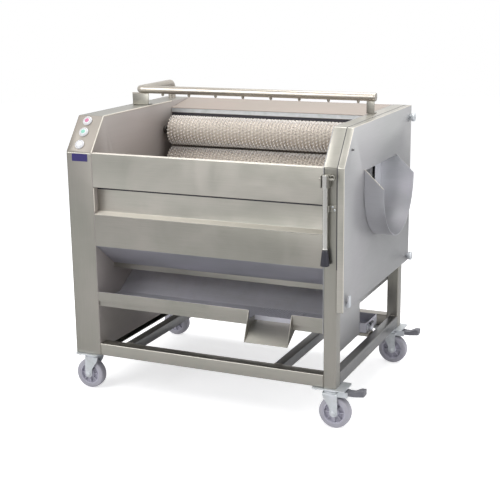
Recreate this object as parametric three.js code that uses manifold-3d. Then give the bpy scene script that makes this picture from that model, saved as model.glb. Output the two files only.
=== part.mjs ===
// Electric potato peeler: a brush roller machine on four casters, in millimetres, Z up.
// It is built with X along the rollers from the drive box, Y from the front to the back, and the
// floor at zero, and at the end it is moved so that the origin is under the middle of its box.

import * as THREE from 'three';
import { mergeVertices } from 'three/addons/utils/BufferGeometryUtils.js';
import Module from 'manifold-3d';

const wasm = await Module();
wasm.setup();

// Driving sizes of the body
const depth = 680;
const boxWidth = 92;
const tubLength = 772;
const endFrameWidth = 42;
const coverWidth = 22;
const topHeight = 905;
const slopeRise = 105;
const slopeRun = 82;
const slopeFoot = topHeight - slopeRise;
const frameFoot = 132;
const tube = 40;
const tubeWall = 2;
const sheet = 2;
const gap = 0.3;
const overrun = 5;
const roundSides = 16;
const wheelSides = 24;
const arcSteps = 16;
const smallSides = 10;

// Stations along X
const tubLeft = boxWidth;
const tubRight = boxWidth + tubLength;
const coverLeft = tubRight + endFrameWidth;
const coverRight = coverLeft + coverWidth;

// Finishes
const finishes = {
  brushed: { color: 0xa8a59c, roughness: 0.35, metalness: 0.9 },
  inner: { color: 0x8c8680, roughness: 0.3, metalness: 0.9 },
  polished: { color: 0xc0c0c4, roughness: 0.15, metalness: 1 },
  tray: { color: 0x73757f, roughness: 0.3, metalness: 0.9 },
  zinc: { color: 0xb9c2c8, roughness: 0.35, metalness: 0.9 },
  brush: { color: 0xcdc3b2, roughness: 0.8, metalness: 0 },
  wheel: { color: 0x9a9ba5, roughness: 0.6, metalness: 0 },
  grip: { color: 0x1e1e24, roughness: 0.5, metalness: 0 },
  cast: { color: 0x4a5a66, roughness: 0.6, metalness: 0.3 },
  chain: { color: 0x55524e, roughness: 0.5, metalness: 0.9 },
  red: { color: 0xc83c50, roughness: 0.35, metalness: 0 },
  green: { color: 0x2f9a62, roughness: 0.35, metalness: 0 },
  white: { color: 0xf0f0ee, roughness: 0.35, metalness: 0 },
};

const machine = new THREE.Group();

function piece(name, geometry, finish) {
  const mesh = new THREE.Mesh(geometry, new THREE.MeshStandardMaterial(finishes[finish]));
  mesh.name = name;
  machine.add(mesh);
  return mesh;
}

// Solids: a closed geometry becomes a manifold for a join or a cut, and comes back as a geometry
function toManifold(geometry) {
  const bare = geometry.clone();
  bare.deleteAttribute('normal');
  bare.deleteAttribute('uv');
  const merged = mergeVertices(bare);
  return new wasm.Manifold(new wasm.Mesh({
    numProp: 3,
    vertProperties: new Float32Array(merged.attributes.position.array),
    triVerts: new Uint32Array(merged.index.array),
  }));
}

function toGeometry(manifold) {
  const mesh = manifold.getMesh();
  const geometry = new THREE.BufferGeometry();
  geometry.setAttribute('position', new THREE.BufferAttribute(mesh.vertProperties, 3));
  geometry.setIndex(new THREE.BufferAttribute(mesh.triVerts, 1));
  geometry.computeVertexNormals();
  return geometry;
}

function join(first, ...others) {
  return toGeometry(others.reduce((sum, other) => sum.add(toManifold(other)), toManifold(first)));
}

function cut(body, ...tools) {
  return toGeometry(tools.reduce((rest, tool) => rest.subtract(toManifold(tool)), toManifold(body)));
}

function block(x0, x1, y0, y1, z0, z1) {
  const geometry = new THREE.BoxGeometry(x1 - x0, y1 - y0, z1 - z0);
  return geometry.translate((x0 + x1) / 2, (y0 + y1) / 2, (z0 + z1) / 2);
}

// An outline of [u, v] points carried along an axis: u, v are y, z along X, or x, z along Y
function extruded(outline, length, curveSteps) {
  const shape = outline instanceof THREE.Shape
    ? outline
    : new THREE.Shape(outline.map(([u, v]) => new THREE.Vector2(u, v)));
  return new THREE.ExtrudeGeometry(shape, { depth: length, bevelEnabled: false, curveSegments: curveSteps });
}

function alongX(outline, x0, x1, curveSteps = smallSides) {
  const axes = new THREE.Matrix4().makeBasis(
    new THREE.Vector3(0, 1, 0), new THREE.Vector3(0, 0, 1), new THREE.Vector3(1, 0, 0));
  return extruded(outline, x1 - x0, curveSteps).applyMatrix4(axes).translate(x0, 0, 0);
}

function alongY(outline, y0, y1, curveSteps = smallSides) {
  const axes = new THREE.Matrix4().makeBasis(
    new THREE.Vector3(1, 0, 0), new THREE.Vector3(0, 0, 1), new THREE.Vector3(0, -1, 0));
  return extruded(outline, y1 - y0, curveSteps).applyMatrix4(axes).translate(0, y1, 0);
}

// A sheet bent along a line of [u, v] points, its thickness laid to the left of the line
function bentSheet(points, thickness = sheet) {
  const line = points.map(([u, v]) => new THREE.Vector2(u, v));
  const runs = line.slice(1).map((point, i) => point.clone().sub(line[i]).normalize());
  const left = (run) => new THREE.Vector2(-run.y, run.x);
  const inner = line.map((point, i) => {
    const before = left(runs[Math.max(i - 1, 0)]);
    const after = left(runs[Math.min(i, runs.length - 1)]);
    const middle = before.clone().add(after).normalize();
    return point.clone().addScaledVector(middle, thickness / middle.dot(after));
  });
  return line.concat(inner.reverse()).map((point) => [point.x, point.y]);
}

function rod(axis, from, to, a, b, radius, sides = roundSides, endRadius = radius) {
  const geometry = new THREE.CylinderGeometry(endRadius, radius, to - from, sides);
  const middle = (from + to) / 2;
  if (axis === 'x') return geometry.rotateZ(-Math.PI / 2).translate(middle, a, b);
  if (axis === 'y') return geometry.translate(a, middle, b);
  return geometry.rotateX(Math.PI / 2).translate(a, b, middle);
}

// Rails: square tubes open at both ends
function railX(x0, x1, y0, y1, z0, z1) {
  return cut(block(x0, x1, y0, y1, z0, z1), block(x0 - overrun, x1 + overrun,
    y0 + tubeWall, y1 - tubeWall, z0 + tubeWall, z1 - tubeWall));
}

function railY(x0, x1, y0, y1, z0, z1) {
  return cut(block(x0, x1, y0, y1, z0, z1), block(x0 + tubeWall, x1 - tubeWall,
    y0 - overrun, y1 + overrun, z0 + tubeWall, z1 - tubeWall));
}

function railZ(x0, x1, y0, y1, z0, z1) {
  return cut(block(x0, x1, y0, y1, z0, z1), block(x0 + tubeWall, x1 - tubeWall,
    y0 + tubeWall, y1 - tubeWall, z0 - overrun, z1 + overrun));
}

// The side outline of the body: upright front, sloped control face, flat top. It starts at the given
// foot and is drawn in from every edge by inset, and from the sloped face by slopeInset.
const slopeLength = Math.hypot(slopeRise, slopeRun);

function sideOutline(foot, inset, slopeInset = inset) {
  return [
    [inset, foot],
    [depth - inset, foot],
    [depth - inset, topHeight - inset],
    [(slopeInset * slopeLength + slopeRun * (slopeRise - inset)) / slopeRise, topHeight - inset],
    [inset, slopeFoot + (slopeRise * inset - slopeInset * slopeLength) / slopeRun],
  ];
}

// A geometry built on a flat, its u along X, v up the sloped face and w out of it, is set on the slope
function onSlope(geometry) {
  const up = new THREE.Vector3(0, slopeRun, slopeRise).normalize();
  const out = new THREE.Vector3(0, -slopeRise, slopeRun).normalize();
  const axes = new THREE.Matrix4().makeBasis(new THREE.Vector3(1, 0, 0), up, out);
  return geometry.applyMatrix4(axes).translate(0, 0, slopeFoot);
}

// Drive box: a side sheet, a band folded round it, and the plate towards the tub that carries the shafts
const innerPlateFoot = 152;

const rollers = {
  arcY: 290,
  arcZ: 775,
  arcRadius: 198.5,
  firstAngle: 10.7,
  stepAngle: 31.6,
  count: 6,
  tipRadius: 51,
  coreRadius: 43,
  shaftRadius: 10,
  shaftClearance: 0.4,
  brushInset: 26,
  endClearance: 2,
  sprocketRadius: 33,
  sprocketLeft: 50,
  sprocketRight: 56,
  bearingReach: 6,
};

function rollerPlace(index) {
  const angle = (rollers.firstAngle - rollers.stepAngle * index) * Math.PI / 180;
  return {
    y: rollers.arcY + rollers.arcRadius * Math.cos(angle),
    z: rollers.arcZ + rollers.arcRadius * Math.sin(angle),
  };
}

const rollerPlaces = Array.from({ length: rollers.count }, (_, index) => rollerPlace(index));

function shaftHoles(x0, x1) {
  const radius = (rollers.shaftRadius + rollers.shaftClearance) / Math.cos(Math.PI / smallSides);
  return rollerPlaces.map(({ y, z }) => rod('x', x0 - overrun, x1 + overrun, y, z, radius, smallSides));
}

// Control face: a plate on the sloped face with three bezels, and the buttons that slide in them
const buttons = {
  stop_button: { alongSlope: 112, finish: 'red' },
  start_button: { alongSlope: 71, finish: 'green' },
  reset_button: { alongSlope: 26, finish: 'white' },
};
const bezel = { across: 41, radius: 15.5, boreRadius: 11.7, height: 5 };
const button = { radius: 11.3, proud: 8, inside: 22, travel: 4, edge: 2 };

function buttonBores() {
  return Object.values(buttons).map(({ alongSlope }) => onSlope(
    rod('z', -button.inside, bezel.height + overrun, bezel.across, alongSlope, bezel.boreRadius)));
}

function driveHousing() {
  const slopeDrop = sheet + gap;
  const left = sheet + gap;
  const right = tubLeft - sheet - gap;
  const outline = sideOutline(frameFoot, 0, slopeDrop);
  const hollow = sideOutline(frameFoot + sheet, sheet, slopeDrop + sheet);
  const inside = alongX(hollow, left - overrun, right + overrun);
  piece('drive_side_sheet', alongX(outline, 0, sheet), 'brushed');
  piece('drive_housing', cut(alongX(outline, left, right), inside, ...buttonBores()), 'brushed');
}

function housingInnerPlate() {
  const left = tubLeft - sheet;
  const plate = alongX(sideOutline(innerPlateFoot, 0), left, tubLeft);
  piece('housing_inner_plate', cut(plate, ...shaftHoles(left, tubLeft)), 'polished');
}

function controlPanel() {
  const right = tubLeft - sheet - gap;
  const plate = onSlope(block(0, right, 0, slopeLength, -sheet, 0));
  const bezels = Object.values(buttons).map(({ alongSlope }) => onSlope(
    rod('z', -sheet, bezel.height, bezel.across, alongSlope, bezel.radius)));
  piece('control_panel', cut(join(plate, ...bezels), ...buttonBores()), 'brushed');
}

function pushButtons() {
  for (const [name, { alongSlope, finish }] of Object.entries(buttons)) {
    const profile = [
      [0, -button.inside],
      [button.radius, -button.inside],
      [button.radius, button.proud - button.edge],
      [button.radius - button.edge, button.proud],
      [0, button.proud],
    ].map(([radius, height]) => new THREE.Vector2(radius, height));
    const turned = new THREE.LatheGeometry(profile, roundSides).rotateX(Math.PI / 2);
    piece(name, onSlope(turned.translate(bezel.across, alongSlope, 0)), finish);
  }
}

// Front: one folded sheet with the upper apron, the recessed band and its ledge, and under it the lower band
// with the deflector that hangs from it
const front = {
  apronFoot: 690,
  recessDepth: 25,
  recessFoot: 611,
  ledgeFront: 603,
  lowerFoot: 500,
  deflectorBack: 106,
  deflectorLow: 421,
  lipFoot: 404,
  topReturn: 14,
};

function frontPanels() {
  const left = tubLeft + gap;
  const right = tubRight - gap;
  const apron = bentSheet([
    [front.topReturn, slopeFoot],
    [0, slopeFoot],
    [0, front.apronFoot],
    [front.recessDepth, front.apronFoot],
    [front.recessDepth, front.recessFoot],
    [0, front.ledgeFront],
  ]);
  const lower = bentSheet([
    [0, front.ledgeFront - sheet - gap],
    [0, front.lowerFoot],
    [front.deflectorBack, front.deflectorLow],
    [front.deflectorBack, front.lipFoot],
  ]);
  piece('front_apron', alongX(apron, left, right), 'brushed');
  piece('lower_front_panel', alongX(lower, left, right), 'brushed');
}

// Back: the wall behind the rollers with its fold band, and the housing whose top slants down to the band
const back = { wallFront: 541, wallFoot: 548, bandFoot: 866, bandTop: 880, bandProud: 3, rearFoot: 300 };

function backPanels() {
  const left = tubLeft + gap;
  const right = tubRight - gap;
  const wall = alongX([
    [back.wallFront, back.wallFoot],
    [back.wallFront + sheet, back.wallFoot],
    [back.wallFront + sheet, back.bandTop],
    [back.wallFront - back.bandProud, back.bandTop],
    [back.wallFront - back.bandProud, back.bandFoot],
    [back.wallFront, back.bandFoot],
  ], left, right);
  const rear = bentSheet([
    [depth, back.rearFoot],
    [depth, topHeight],
    [back.wallFront - back.bandProud, back.bandTop + gap + sheet],
  ]);
  piece('inner_back_panel', wall, 'polished');
  piece('rear_housing', alongX(rear, left, right), 'brushed');
}

// Right end: the tub wall with its outlet and gate guides, the post, the sloped frame and the leg
const endWall = { foot: 300, skirtFoot: 196, skirtFront: tube + gap, skirtBack: 340 };
const outlet = { radius: 125, chordTilt: 0.12 };
const gate = { front: 150, back: 430, foot: 636, top: 772, thickness: 3, travel: 100, foldDepth: 12 };
const guide = { width: 5, depth: 6, top: 880 };
const frameLeft = tubRight + sheet + gap;
const frameRight = coverLeft - gap;

function slopeAt(y, below) {
  return slopeFoot + (slopeRise * y - below * slopeLength) / slopeRun;
}

function rightEndPlate() {
  const left = tubRight;
  const right = tubRight + sheet;
  const outline = [
    [0, endWall.foot],
    [endWall.skirtFront, endWall.foot],
    [endWall.skirtFront, endWall.skirtFoot],
    [endWall.skirtBack, endWall.skirtFoot],
    [endWall.skirtBack, endWall.foot],
    ...sideOutline(endWall.foot, 0).slice(1),
  ];
  const opening = new THREE.Shape();
  opening.absarc(rollers.arcY, rollers.arcZ, outlet.radius,
    Math.PI + outlet.chordTilt, 2 * Math.PI - outlet.chordTilt, false);
  const guides = [gate.front - gap - guide.width, gate.back + gap].map((y) => block(
    left, right + guide.depth, y, y + guide.width, gate.foot, guide.top));
  const sill = block(left, right + guide.depth, gate.front - gap - guide.width,
    gate.back + gap + guide.width, gate.foot - gap - guide.width, gate.foot - gap);
  const wall = join(alongX(outline, left, right), ...guides, sill);
  const bores = shaftHoles(left, right);
  const outletCut = alongX(opening, left - overrun, right + guide.depth + overrun);
  piece('right_end_plate', cut(wall, outletCut, ...bores), 'polished');
}

function dischargeGate() {
  const left = tubRight + sheet + gap;
  const plate = block(left, left + gate.thickness, gate.front, gate.back, gate.foot, gate.top);
  const fold = block(left, left + gate.foldDepth, gate.front, gate.back, gate.top - gate.thickness, gate.top);
  piece('discharge_gate', join(plate, fold), 'inner');
}

function rightFrame() {
  const top = sheet + gap;
  const post = cut(
    alongX([[0, frameFoot], [tube, frameFoot], [tube, slopeAt(tube, top)], [0, slopeAt(0, top)]],
      frameLeft, frameRight),
    block(frameLeft + tubeWall, frameRight - tubeWall, tubeWall, tube - tubeWall,
      frameFoot - overrun, slopeAt(tube, 0)));
  const topFrame = bentSheet([[depth, topHeight], [slopeRun, topHeight], [0, slopeFoot]]);
  const leg = railZ(frameLeft, frameRight, depth - tube, depth, frameFoot, topHeight - top);
  piece('front_right_post', post, 'brushed');
  piece('right_top_frame', alongX(topFrame, frameLeft, frameRight), 'brushed');
  piece('rear_right_leg', leg, 'brushed');
}

// Base frame: two long rails, two cross rails and the side rail, square tube
const crossRail = { foot: 140, leftStation: 165, rightStation: 690, width: 30 };

function baseFrame() {
  const top = frameFoot + tube;
  const left = tubLeft + gap;
  const right = frameLeft - gap;
  const between = [tube + gap, depth - tube - gap];
  piece('base_front_rail', railX(left, right, 0, tube, frameFoot, top), 'brushed');
  piece('base_rear_rail', railX(left, right, depth - tube, depth, frameFoot, top), 'inner');
  const cross = { cross_rail_left: crossRail.leftStation, cross_rail_right: crossRail.rightStation };
  for (const [name, x] of Object.entries(cross)) {
    piece(name, railY(x, x + crossRail.width, ...between, crossRail.foot, top), 'brushed');
  }
  const sideRail = railY(frameRight - crossRail.width, frameRight, ...between, frameFoot, top);
  piece('side_rail_right', sideRail, 'brushed');
}

// Side cover: a tray-shaped sheet over the right end, open over the chute, with its screws and catch
const cover = { foot: 370 };
const chute = {
  centerY: 340, centerZ: 702, radius: 162, rootTop: 768, mouthTop: 710, reach: 62, openingInset: 5,
};
const coverKnobs = {
  fromBack: 15, fromTop: 39, fromFoot: 18, radius: 14, length: 16, neckRadius: 6, neckLength: 5,
};
const catchPlate = { y: 32, fromFoot: 18, width: 9, length: 30, thickness: 4, proud: 9 };

function chuteSection(radius, top) {
  const shape = new THREE.Shape();
  shape.moveTo(chute.centerY - radius, top);
  shape.lineTo(chute.centerY - radius, chute.centerZ);
  shape.absarc(chute.centerY, chute.centerZ, radius, Math.PI, 2 * Math.PI, false);
  shape.lineTo(chute.centerY + radius, top);
  return shape;
}

function sideCover() {
  const shell = cut(alongX(sideOutline(cover.foot, 0), coverLeft, coverRight),
    alongX(sideOutline(cover.foot + sheet, sheet), coverLeft - overrun, coverRight - sheet));
  const opening = chuteSection(chute.radius - chute.openingInset, chute.rootTop - chute.openingInset);
  const openingCut = alongX(opening, coverRight - overrun, coverRight + overrun, arcSteps);
  piece('side_cover', cut(shell, openingCut), 'brushed');
}

function coverFasteners() {
  const start = coverRight + gap;
  const heights = {
    cover_knob_upper: topHeight - coverKnobs.fromTop,
    cover_knob_lower: cover.foot + coverKnobs.fromFoot,
  };
  for (const [name, z] of Object.entries(heights)) {
    const y = depth - coverKnobs.fromBack;
    const neck = rod('x', start, start + coverKnobs.neckLength, y, z, coverKnobs.neckRadius);
    const end = start + coverKnobs.length;
    const head = rod('x', start + coverKnobs.neckLength, end, y, z, coverKnobs.radius);
    piece(name, join(neck, head), 'zinc');
  }
  const z = cover.foot + catchPlate.fromFoot;
  const hub = rod('x', start, start + catchPlate.proud, catchPlate.y, z, catchPlate.width);
  const blade = block(start + catchPlate.proud - catchPlate.thickness, start + catchPlate.proud,
    catchPlate.y - catchPlate.width, catchPlate.y + catchPlate.width, z, z + catchPlate.length);
  piece('cover_catch', join(hub, blade), 'zinc');
}

function dischargeChute() {
  const start = coverRight + gap;
  const end = coverRight + chute.reach;
  const hollow = chuteSection(chute.radius - sheet, chute.rootTop + overrun);
  const trough = cut(
    alongX(chuteSection(chute.radius, chute.rootTop), start, end, arcSteps),
    alongX(hollow, start - overrun, end + overrun, arcSteps),
    alongY([[start, chute.rootTop], [end, chute.mouthTop], [end + overrun, chute.rootTop + overrun],
      [start, chute.rootTop + overrun]], 0, depth));
  piece('discharge_chute', trough, 'polished');
}

// Gate lever on the front of the post: a bracket with its pin and the ring that locks it, the rod with
// its head, and the grip
const lever = {
  x: 876, y: -17, pinHeight: 769, pinRadius: 4, pinClearance: 0.4, rodRadius: 8,
  headWidth: 15, headDepth: 16, headAbove: 11, headBelow: 26, collarRadius: 9.5, collarLength: 4,
};
const bracket = {
  halfWidth: 12.5, cheek: 3, above: 11, below: 25, pinLeft: 17, pinRight: 28, proud: 26,
  ringRadius: 6, ringAt: 20.5, ringWire: 1.6, ringSides: 5,
};
const grip = { topRadius: 8, footRadius: 13.5, foot: 514, length: 48, clearance: 1, boreRadius: 5, edge: 3 };
const keeper = { left: 884, width: 21, foot: 673, height: 19, finger: 4, proud: 20 };

function gateLever() {
  const left = lever.x - bracket.halfWidth;
  const right = lever.x + bracket.halfWidth;
  const wall = -gap;
  const front = -bracket.proud;
  const foot = lever.pinHeight - bracket.below;
  const top = lever.pinHeight + bracket.above;
  const base = block(left, right, wall - sheet, wall, foot, top);
  const cheek = (x) => block(x, x + bracket.cheek, front, wall, foot, top);
  const pin = rod('x', lever.x - bracket.pinLeft, lever.x + bracket.pinRight, lever.y, lever.pinHeight,
    lever.pinRadius, smallSides);
  const ring = new THREE.TorusGeometry(bracket.ringRadius, bracket.ringWire, bracket.ringSides, arcSteps)
    .rotateX(Math.PI / 2)
    .translate(lever.x + bracket.ringAt, lever.y, lever.pinHeight + bracket.ringRadius);
  piece('lever_bracket', join(base, cheek(left), cheek(right - bracket.cheek), pin, ring), 'zinc');

  const gripTop = grip.foot + grip.length;
  const collarFoot = gripTop + grip.clearance;
  const stemFoot = collarFoot + lever.collarLength;
  const headFoot = lever.pinHeight - lever.headBelow;
  const head = block(lever.x - lever.headWidth / 2, lever.x + lever.headWidth / 2,
    lever.y - lever.headDepth / 2, lever.y + lever.headDepth / 2,
    headFoot, lever.pinHeight + lever.headAbove);
  const stem = rod('z', stemFoot, headFoot + overrun, lever.x, lever.y, lever.rodRadius);
  const collar = rod('z', collarFoot, stemFoot, lever.x, lever.y, lever.collarRadius);
  const tang = rod('z', grip.foot + grip.edge, stemFoot, lever.x, lever.y, grip.boreRadius - gap, smallSides);
  const bore = rod('x', left - overrun, right + overrun, lever.y, lever.pinHeight,
    lever.pinRadius + lever.pinClearance, smallSides);
  piece('gate_lever', cut(join(head, stem, collar, tang), bore), 'zinc');

  const profile = [
    [grip.boreRadius, grip.foot],
    [grip.footRadius - grip.edge, grip.foot],
    [grip.footRadius, grip.foot + grip.edge],
    [grip.topRadius, gripTop],
    [grip.boreRadius, gripTop],
    [grip.boreRadius, grip.foot],
  ].map(([radius, height]) => new THREE.Vector2(radius, height));
  const shell = new THREE.LatheGeometry(profile, roundSides).rotateX(Math.PI / 2);
  piece('lever_grip', shell.translate(lever.x, lever.y, 0), 'grip');

  const keeperTop = keeper.foot + keeper.height;
  piece('lever_keeper', join(
    block(keeper.left, keeper.left + keeper.width, wall - sheet, wall, keeper.foot, keeperTop),
    block(keeper.left, keeper.left + keeper.finger, -keeper.proud, wall, keeper.foot, keeperTop)), 'zinc');
}

// Spray pipe over the rollers with its nozzles, its feed arm and its two brackets
const spray = { radius: 13.5, y: 405, above: 53, left: 40, right: 890, feedY: 642, elbowRadius: 15,
  nozzleStart: 131, nozzlePitch: 100, nozzleCount: 8, nozzleRadius: 5, nozzleReach: 25, nozzleSides: 6 };
const sprayHeight = topHeight + spray.above;
const stay = { thickness: 3, footDepth: 24 };
const stays = {
  spray_bracket_left: { left: 14, right: 77, under: spray.elbowRadius },
  spray_bracket_right: { left: 859, right: 885, under: spray.radius },
};

function sprayPipe() {
  const foot = topHeight + gap;
  const elbow = (y) => new THREE.SphereGeometry(spray.elbowRadius, smallSides, smallSides / 2)
    .translate(spray.left, y, sprayHeight);
  const nozzles = Array.from({ length: spray.nozzleCount }, (_, index) => rod('z',
    sprayHeight - spray.nozzleReach, sprayHeight, spray.nozzleStart + spray.nozzlePitch * index, spray.y,
    spray.nozzleRadius, spray.nozzleSides));
  piece('spray_pipe', join(
    rod('x', spray.left, spray.right, spray.y, sprayHeight, spray.radius, smallSides),
    rod('y', spray.y, spray.feedY, spray.left, sprayHeight, spray.radius, smallSides),
    rod('z', foot, sprayHeight, spray.left, spray.feedY, spray.radius, smallSides),
    elbow(spray.y), elbow(spray.feedY), ...nozzles), 'polished');
  for (const [name, { left, right, under }] of Object.entries(stays)) {
    piece(name, join(
      block(left, right, spray.y - stay.thickness, spray.y, foot, sprayHeight - under - gap),
      block(left, right, spray.y - stay.thickness, spray.y + stay.footDepth, foot, foot + stay.thickness)),
    'brushed');
  }
}

// Catch tray under the rollers: front lip, gutter and the sheet that slopes up to the back wall
const tray = {
  lipTop: 348, floorFront: 317, creaseY: 135, creaseZ: 313, backZ: 546, flangeY: 4, flangeFoot: 300,
};
const spout = {
  left: 623, right: 766, back: 45, backZ: 303, sideZ: 318, mouthY: -35, mouthZ: 255, lipTop: 347,
  lipDepth: 3, floor: 2,
};

function catchTray() {
  const left = tubLeft + gap;
  const right = tubRight - gap;
  const outline = bentSheet([
    [0, tray.lipTop],
    [0, tray.floorFront],
    [tray.creaseY, tray.creaseZ],
    [back.wallFront - gap, tray.backZ],
  ]);
  const flange = block(left, right, tray.flangeY, tray.flangeY + sheet,
    tray.flangeFoot, tray.floorFront + sheet / 2);
  const mouth = block(spout.left - gap, spout.right + gap, -overrun, spout.back + gap,
    tray.flangeFoot - overrun, tray.lipTop + overrun);
  piece('catch_tray', cut(join(alongX(outline, left, right), flange), mouth), 'tray');
}

function wasteSpout() {
  const side = [
    [spout.mouthY, spout.mouthZ],
    [spout.back, spout.backZ],
    [spout.back, spout.sideZ],
    [spout.lipDepth, spout.sideZ],
    [spout.lipDepth, spout.lipTop],
    [0, spout.lipTop],
    [spout.mouthY, spout.mouthZ + spout.floor + sheet],
  ];
  const channel = [
    [spout.mouthY - overrun, spout.mouthZ + spout.floor],
    [spout.mouthY, spout.mouthZ + spout.floor],
    [spout.back, spout.backZ + spout.floor],
    [spout.back + overrun, spout.backZ + spout.floor],
    [spout.back + overrun, spout.lipTop + overrun],
    [spout.mouthY - overrun, spout.lipTop + overrun],
  ];
  piece('waste_spout', cut(alongX(side, spout.left, spout.right),
    alongX(channel, spout.left + sheet, spout.right - sheet)), 'tray');
}

// Low pan with its drain valve, on a bar between the right cross rail and the side rail
const pan = { left: 722, right: 868, front: 405, back: 520, foot: 178, top: 212 };
const panBar = { foot: 166, depth: 50 };
const valve = { y: 420, height: 195, radius: 8, right: 884, handleX: 878, stemRadius: 3, stemTop: 209,
  bladeFoot: 206, bladeTop: 213, bladeLength: 26, bladeWidth: 10 };

function drainPan() {
  const body = block(pan.left, pan.right, pan.front, pan.back, pan.foot, pan.top);
  const hollow = block(pan.left + sheet, pan.right - sheet, pan.front + sheet, pan.back - sheet,
    pan.foot + sheet, pan.top + overrun);
  const outletPipe = rod('x', pan.right - sheet, valve.right, valve.y, valve.height, valve.radius,
    smallSides);
  piece('drain_pan', join(cut(body, hollow), outletPipe), 'tray');
  const barLeft = crossRail.rightStation + crossRail.width + gap;
  const barRight = frameRight - crossRail.width - gap;
  const bar = railX(barLeft, barRight, pan.front, pan.front + panBar.depth, panBar.foot, pan.foot - gap);
  piece('pan_support', bar, 'inner');
  const foot = valve.height + valve.radius + gap;
  piece('valve_handle', join(
    rod('z', foot, valve.stemTop, valve.handleX, valve.y, valve.stemRadius, smallSides),
    block(valve.handleX - valve.bladeWidth / 2, valve.handleX + valve.bladeWidth / 2,
      valve.y - valve.bladeWidth / 2, valve.y + valve.bladeLength, valve.bladeFoot, valve.bladeTop)), 'grip');
}

// Brush rollers: shaft, sprocket and a core with lengthwise ribs of bristle. On the upper ones a row of
// strands stands out of the core in each groove between two ribs.
const bristles = { rollers: 3, around: 10, along: 10, baseRadius: 4, tipRadius: 2, sides: 3, sunk: 2 };
const ribs = { around: 20, footShare: 0.55, topShare: 0.3 };
const brushLeft = tubLeft + rollers.brushInset;
const brushRight = tubRight - rollers.endClearance;
const shaftLeft = 46;

function ribbedBody(y, z, around) {
  const half = Math.PI / around;
  const corners = [
    [rollers.coreRadius, -half * ribs.footShare],
    [rollers.tipRadius, -half * ribs.topShare],
    [rollers.tipRadius, half * ribs.topShare],
    [rollers.coreRadius, half * ribs.footShare],
  ];
  const middles = Array.from({ length: around }, (_, rib) => 2 * half * rib);
  const outline = middles.flatMap((middle) => corners.map(([radius, aside]) => [
    y - radius * Math.sin(middle + aside),
    z + radius * Math.cos(middle + aside),
  ]));
  return alongX(outline, brushLeft, brushRight);
}

function strands(y, z) {
  const pitch = (brushRight - brushLeft) / (bristles.along + 1);
  const halfGroove = (1 - ribs.footShare) * Math.PI / bristles.around;
  const foot = rollers.coreRadius * Math.cos(halfGroove) - bristles.sunk;
  const list = [];
  for (let row = 0; row < bristles.around; row += 1) {
    const turn = (2 * row + 1) * Math.PI / bristles.around;
    for (let place = 0; place < bristles.along; place += 1) {
      const x = brushLeft + pitch * (place + 3 / 4 + (row % 2) / 2);
      const strand = rod('z', foot, rollers.tipRadius, 0, 0, bristles.baseRadius, bristles.sides,
        bristles.tipRadius);
      list.push(strand.rotateX(turn).translate(x, y, z));
    }
  }
  return list;
}

function brushRollers() {
  rollerPlaces.forEach(({ y, z }, index) => {
    const bristled = index < bristles.rollers;
    const body = ribbedBody(y, z, bristled ? bristles.around : ribs.around);
    const shaft = rod('x', shaftLeft + gap, tubRight + rollers.bearingReach, y, z, rollers.shaftRadius,
      smallSides);
    const sprocket = rod('x', rollers.sprocketLeft, rollers.sprocketRight, y, z, rollers.sprocketRadius);
    const outside = bristled ? strands(y, z) : [];
    piece(`brush_roller_${index + 1}`, join(body, shaft, sprocket, ...outside), 'brush');
  });
}

// Drive inside the box: the gear motor on the fifth shaft, and the chain round all the sprockets
const motor = { rollerIndex: 4, width: 54, depthBelow: 116, above: 54, canRadius: 38, canFoot: 250 };
const chainLoop = { thickness: 3, clearance: 0.8, left: 48, right: 58, steps: 6 };

function loopOutline(radius) {
  const corners = [...rollerPlaces].reverse();
  const shape = new THREE.Shape();
  corners.forEach((corner, index) => {
    const before = corners[(index + corners.length - 1) % corners.length];
    const after = corners[(index + 1) % corners.length];
    const start = Math.atan2(before.y - corner.y, corner.z - before.z);
    const end = Math.atan2(corner.y - after.y, after.z - corner.z);
    shape.absarc(corner.y, corner.z, radius, start, end, false);
  });
  return shape;
}

function driveInside() {
  const { y, z } = rollerPlaces[motor.rollerIndex];
  const left = sheet + gap;
  const gearbox = block(left, shaftLeft, y - motor.width, y + motor.width,
    z - motor.depthBelow, z + motor.above);
  const canTop = z - motor.depthBelow + overrun;
  const can = rod('z', motor.canFoot, canTop, left + motor.canRadius, y, motor.canRadius);
  piece('gear_motor', join(gearbox, can), 'cast');
  const inner = rollers.sprocketRadius + chainLoop.clearance;
  const outside = loopOutline(inner + chainLoop.thickness);
  piece('drive_chain', cut(
    alongX(outside, chainLoop.left, chainLoop.right, chainLoop.steps),
    alongX(loopOutline(inner), chainLoop.left - overrun, chainLoop.right + overrun, chainLoop.steps),
  ), 'chain');
}

// Casters: plate, swivelling fork, wheel, and a brake pedal on the right ones. The trail runs outwards,
// and the wheels stand on a flat of their tread. The left plates lie lengthwise under the drive box.
const caster = {
  wheelRadius: 50, wheelWidth: 30, hubRadius: 34, dish: 4, edge: 5, axleRadius: 5, axleClearance: 0.4,
  trail: 12,
  plateX: 104, plateY: 80, plateThickness: 4, raceRadius: 28, raceDepth: 9, forkRaceRadius: 26,
  crownHalf: 24, crownTop: 114, crownFoot: 110, legInner: 18, legOuter: 21, legHalf: 12.5, legWaist: 60,
  legFoot: 38, boltRadius: 8, boltHead: 5,
};
const pedal = {
  hingeX: 38, hingeZ: 113, pinRadius: 3, bore: 3.4, halfWidth: 14.5, near: 32, foot: 106, nearTop: 120,
  waist: 60, throat: 74, waistFoot: 108, neck: 72, neckTop: 121, shoulder: 92, tip: 106, tipFoot: 112,
  tipTop: 131,
};
const brakeCheek = { thickness: 3, near: 20, step: 32, far: 56, foot: 103, shoulder: 114, top: 121 };
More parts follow.
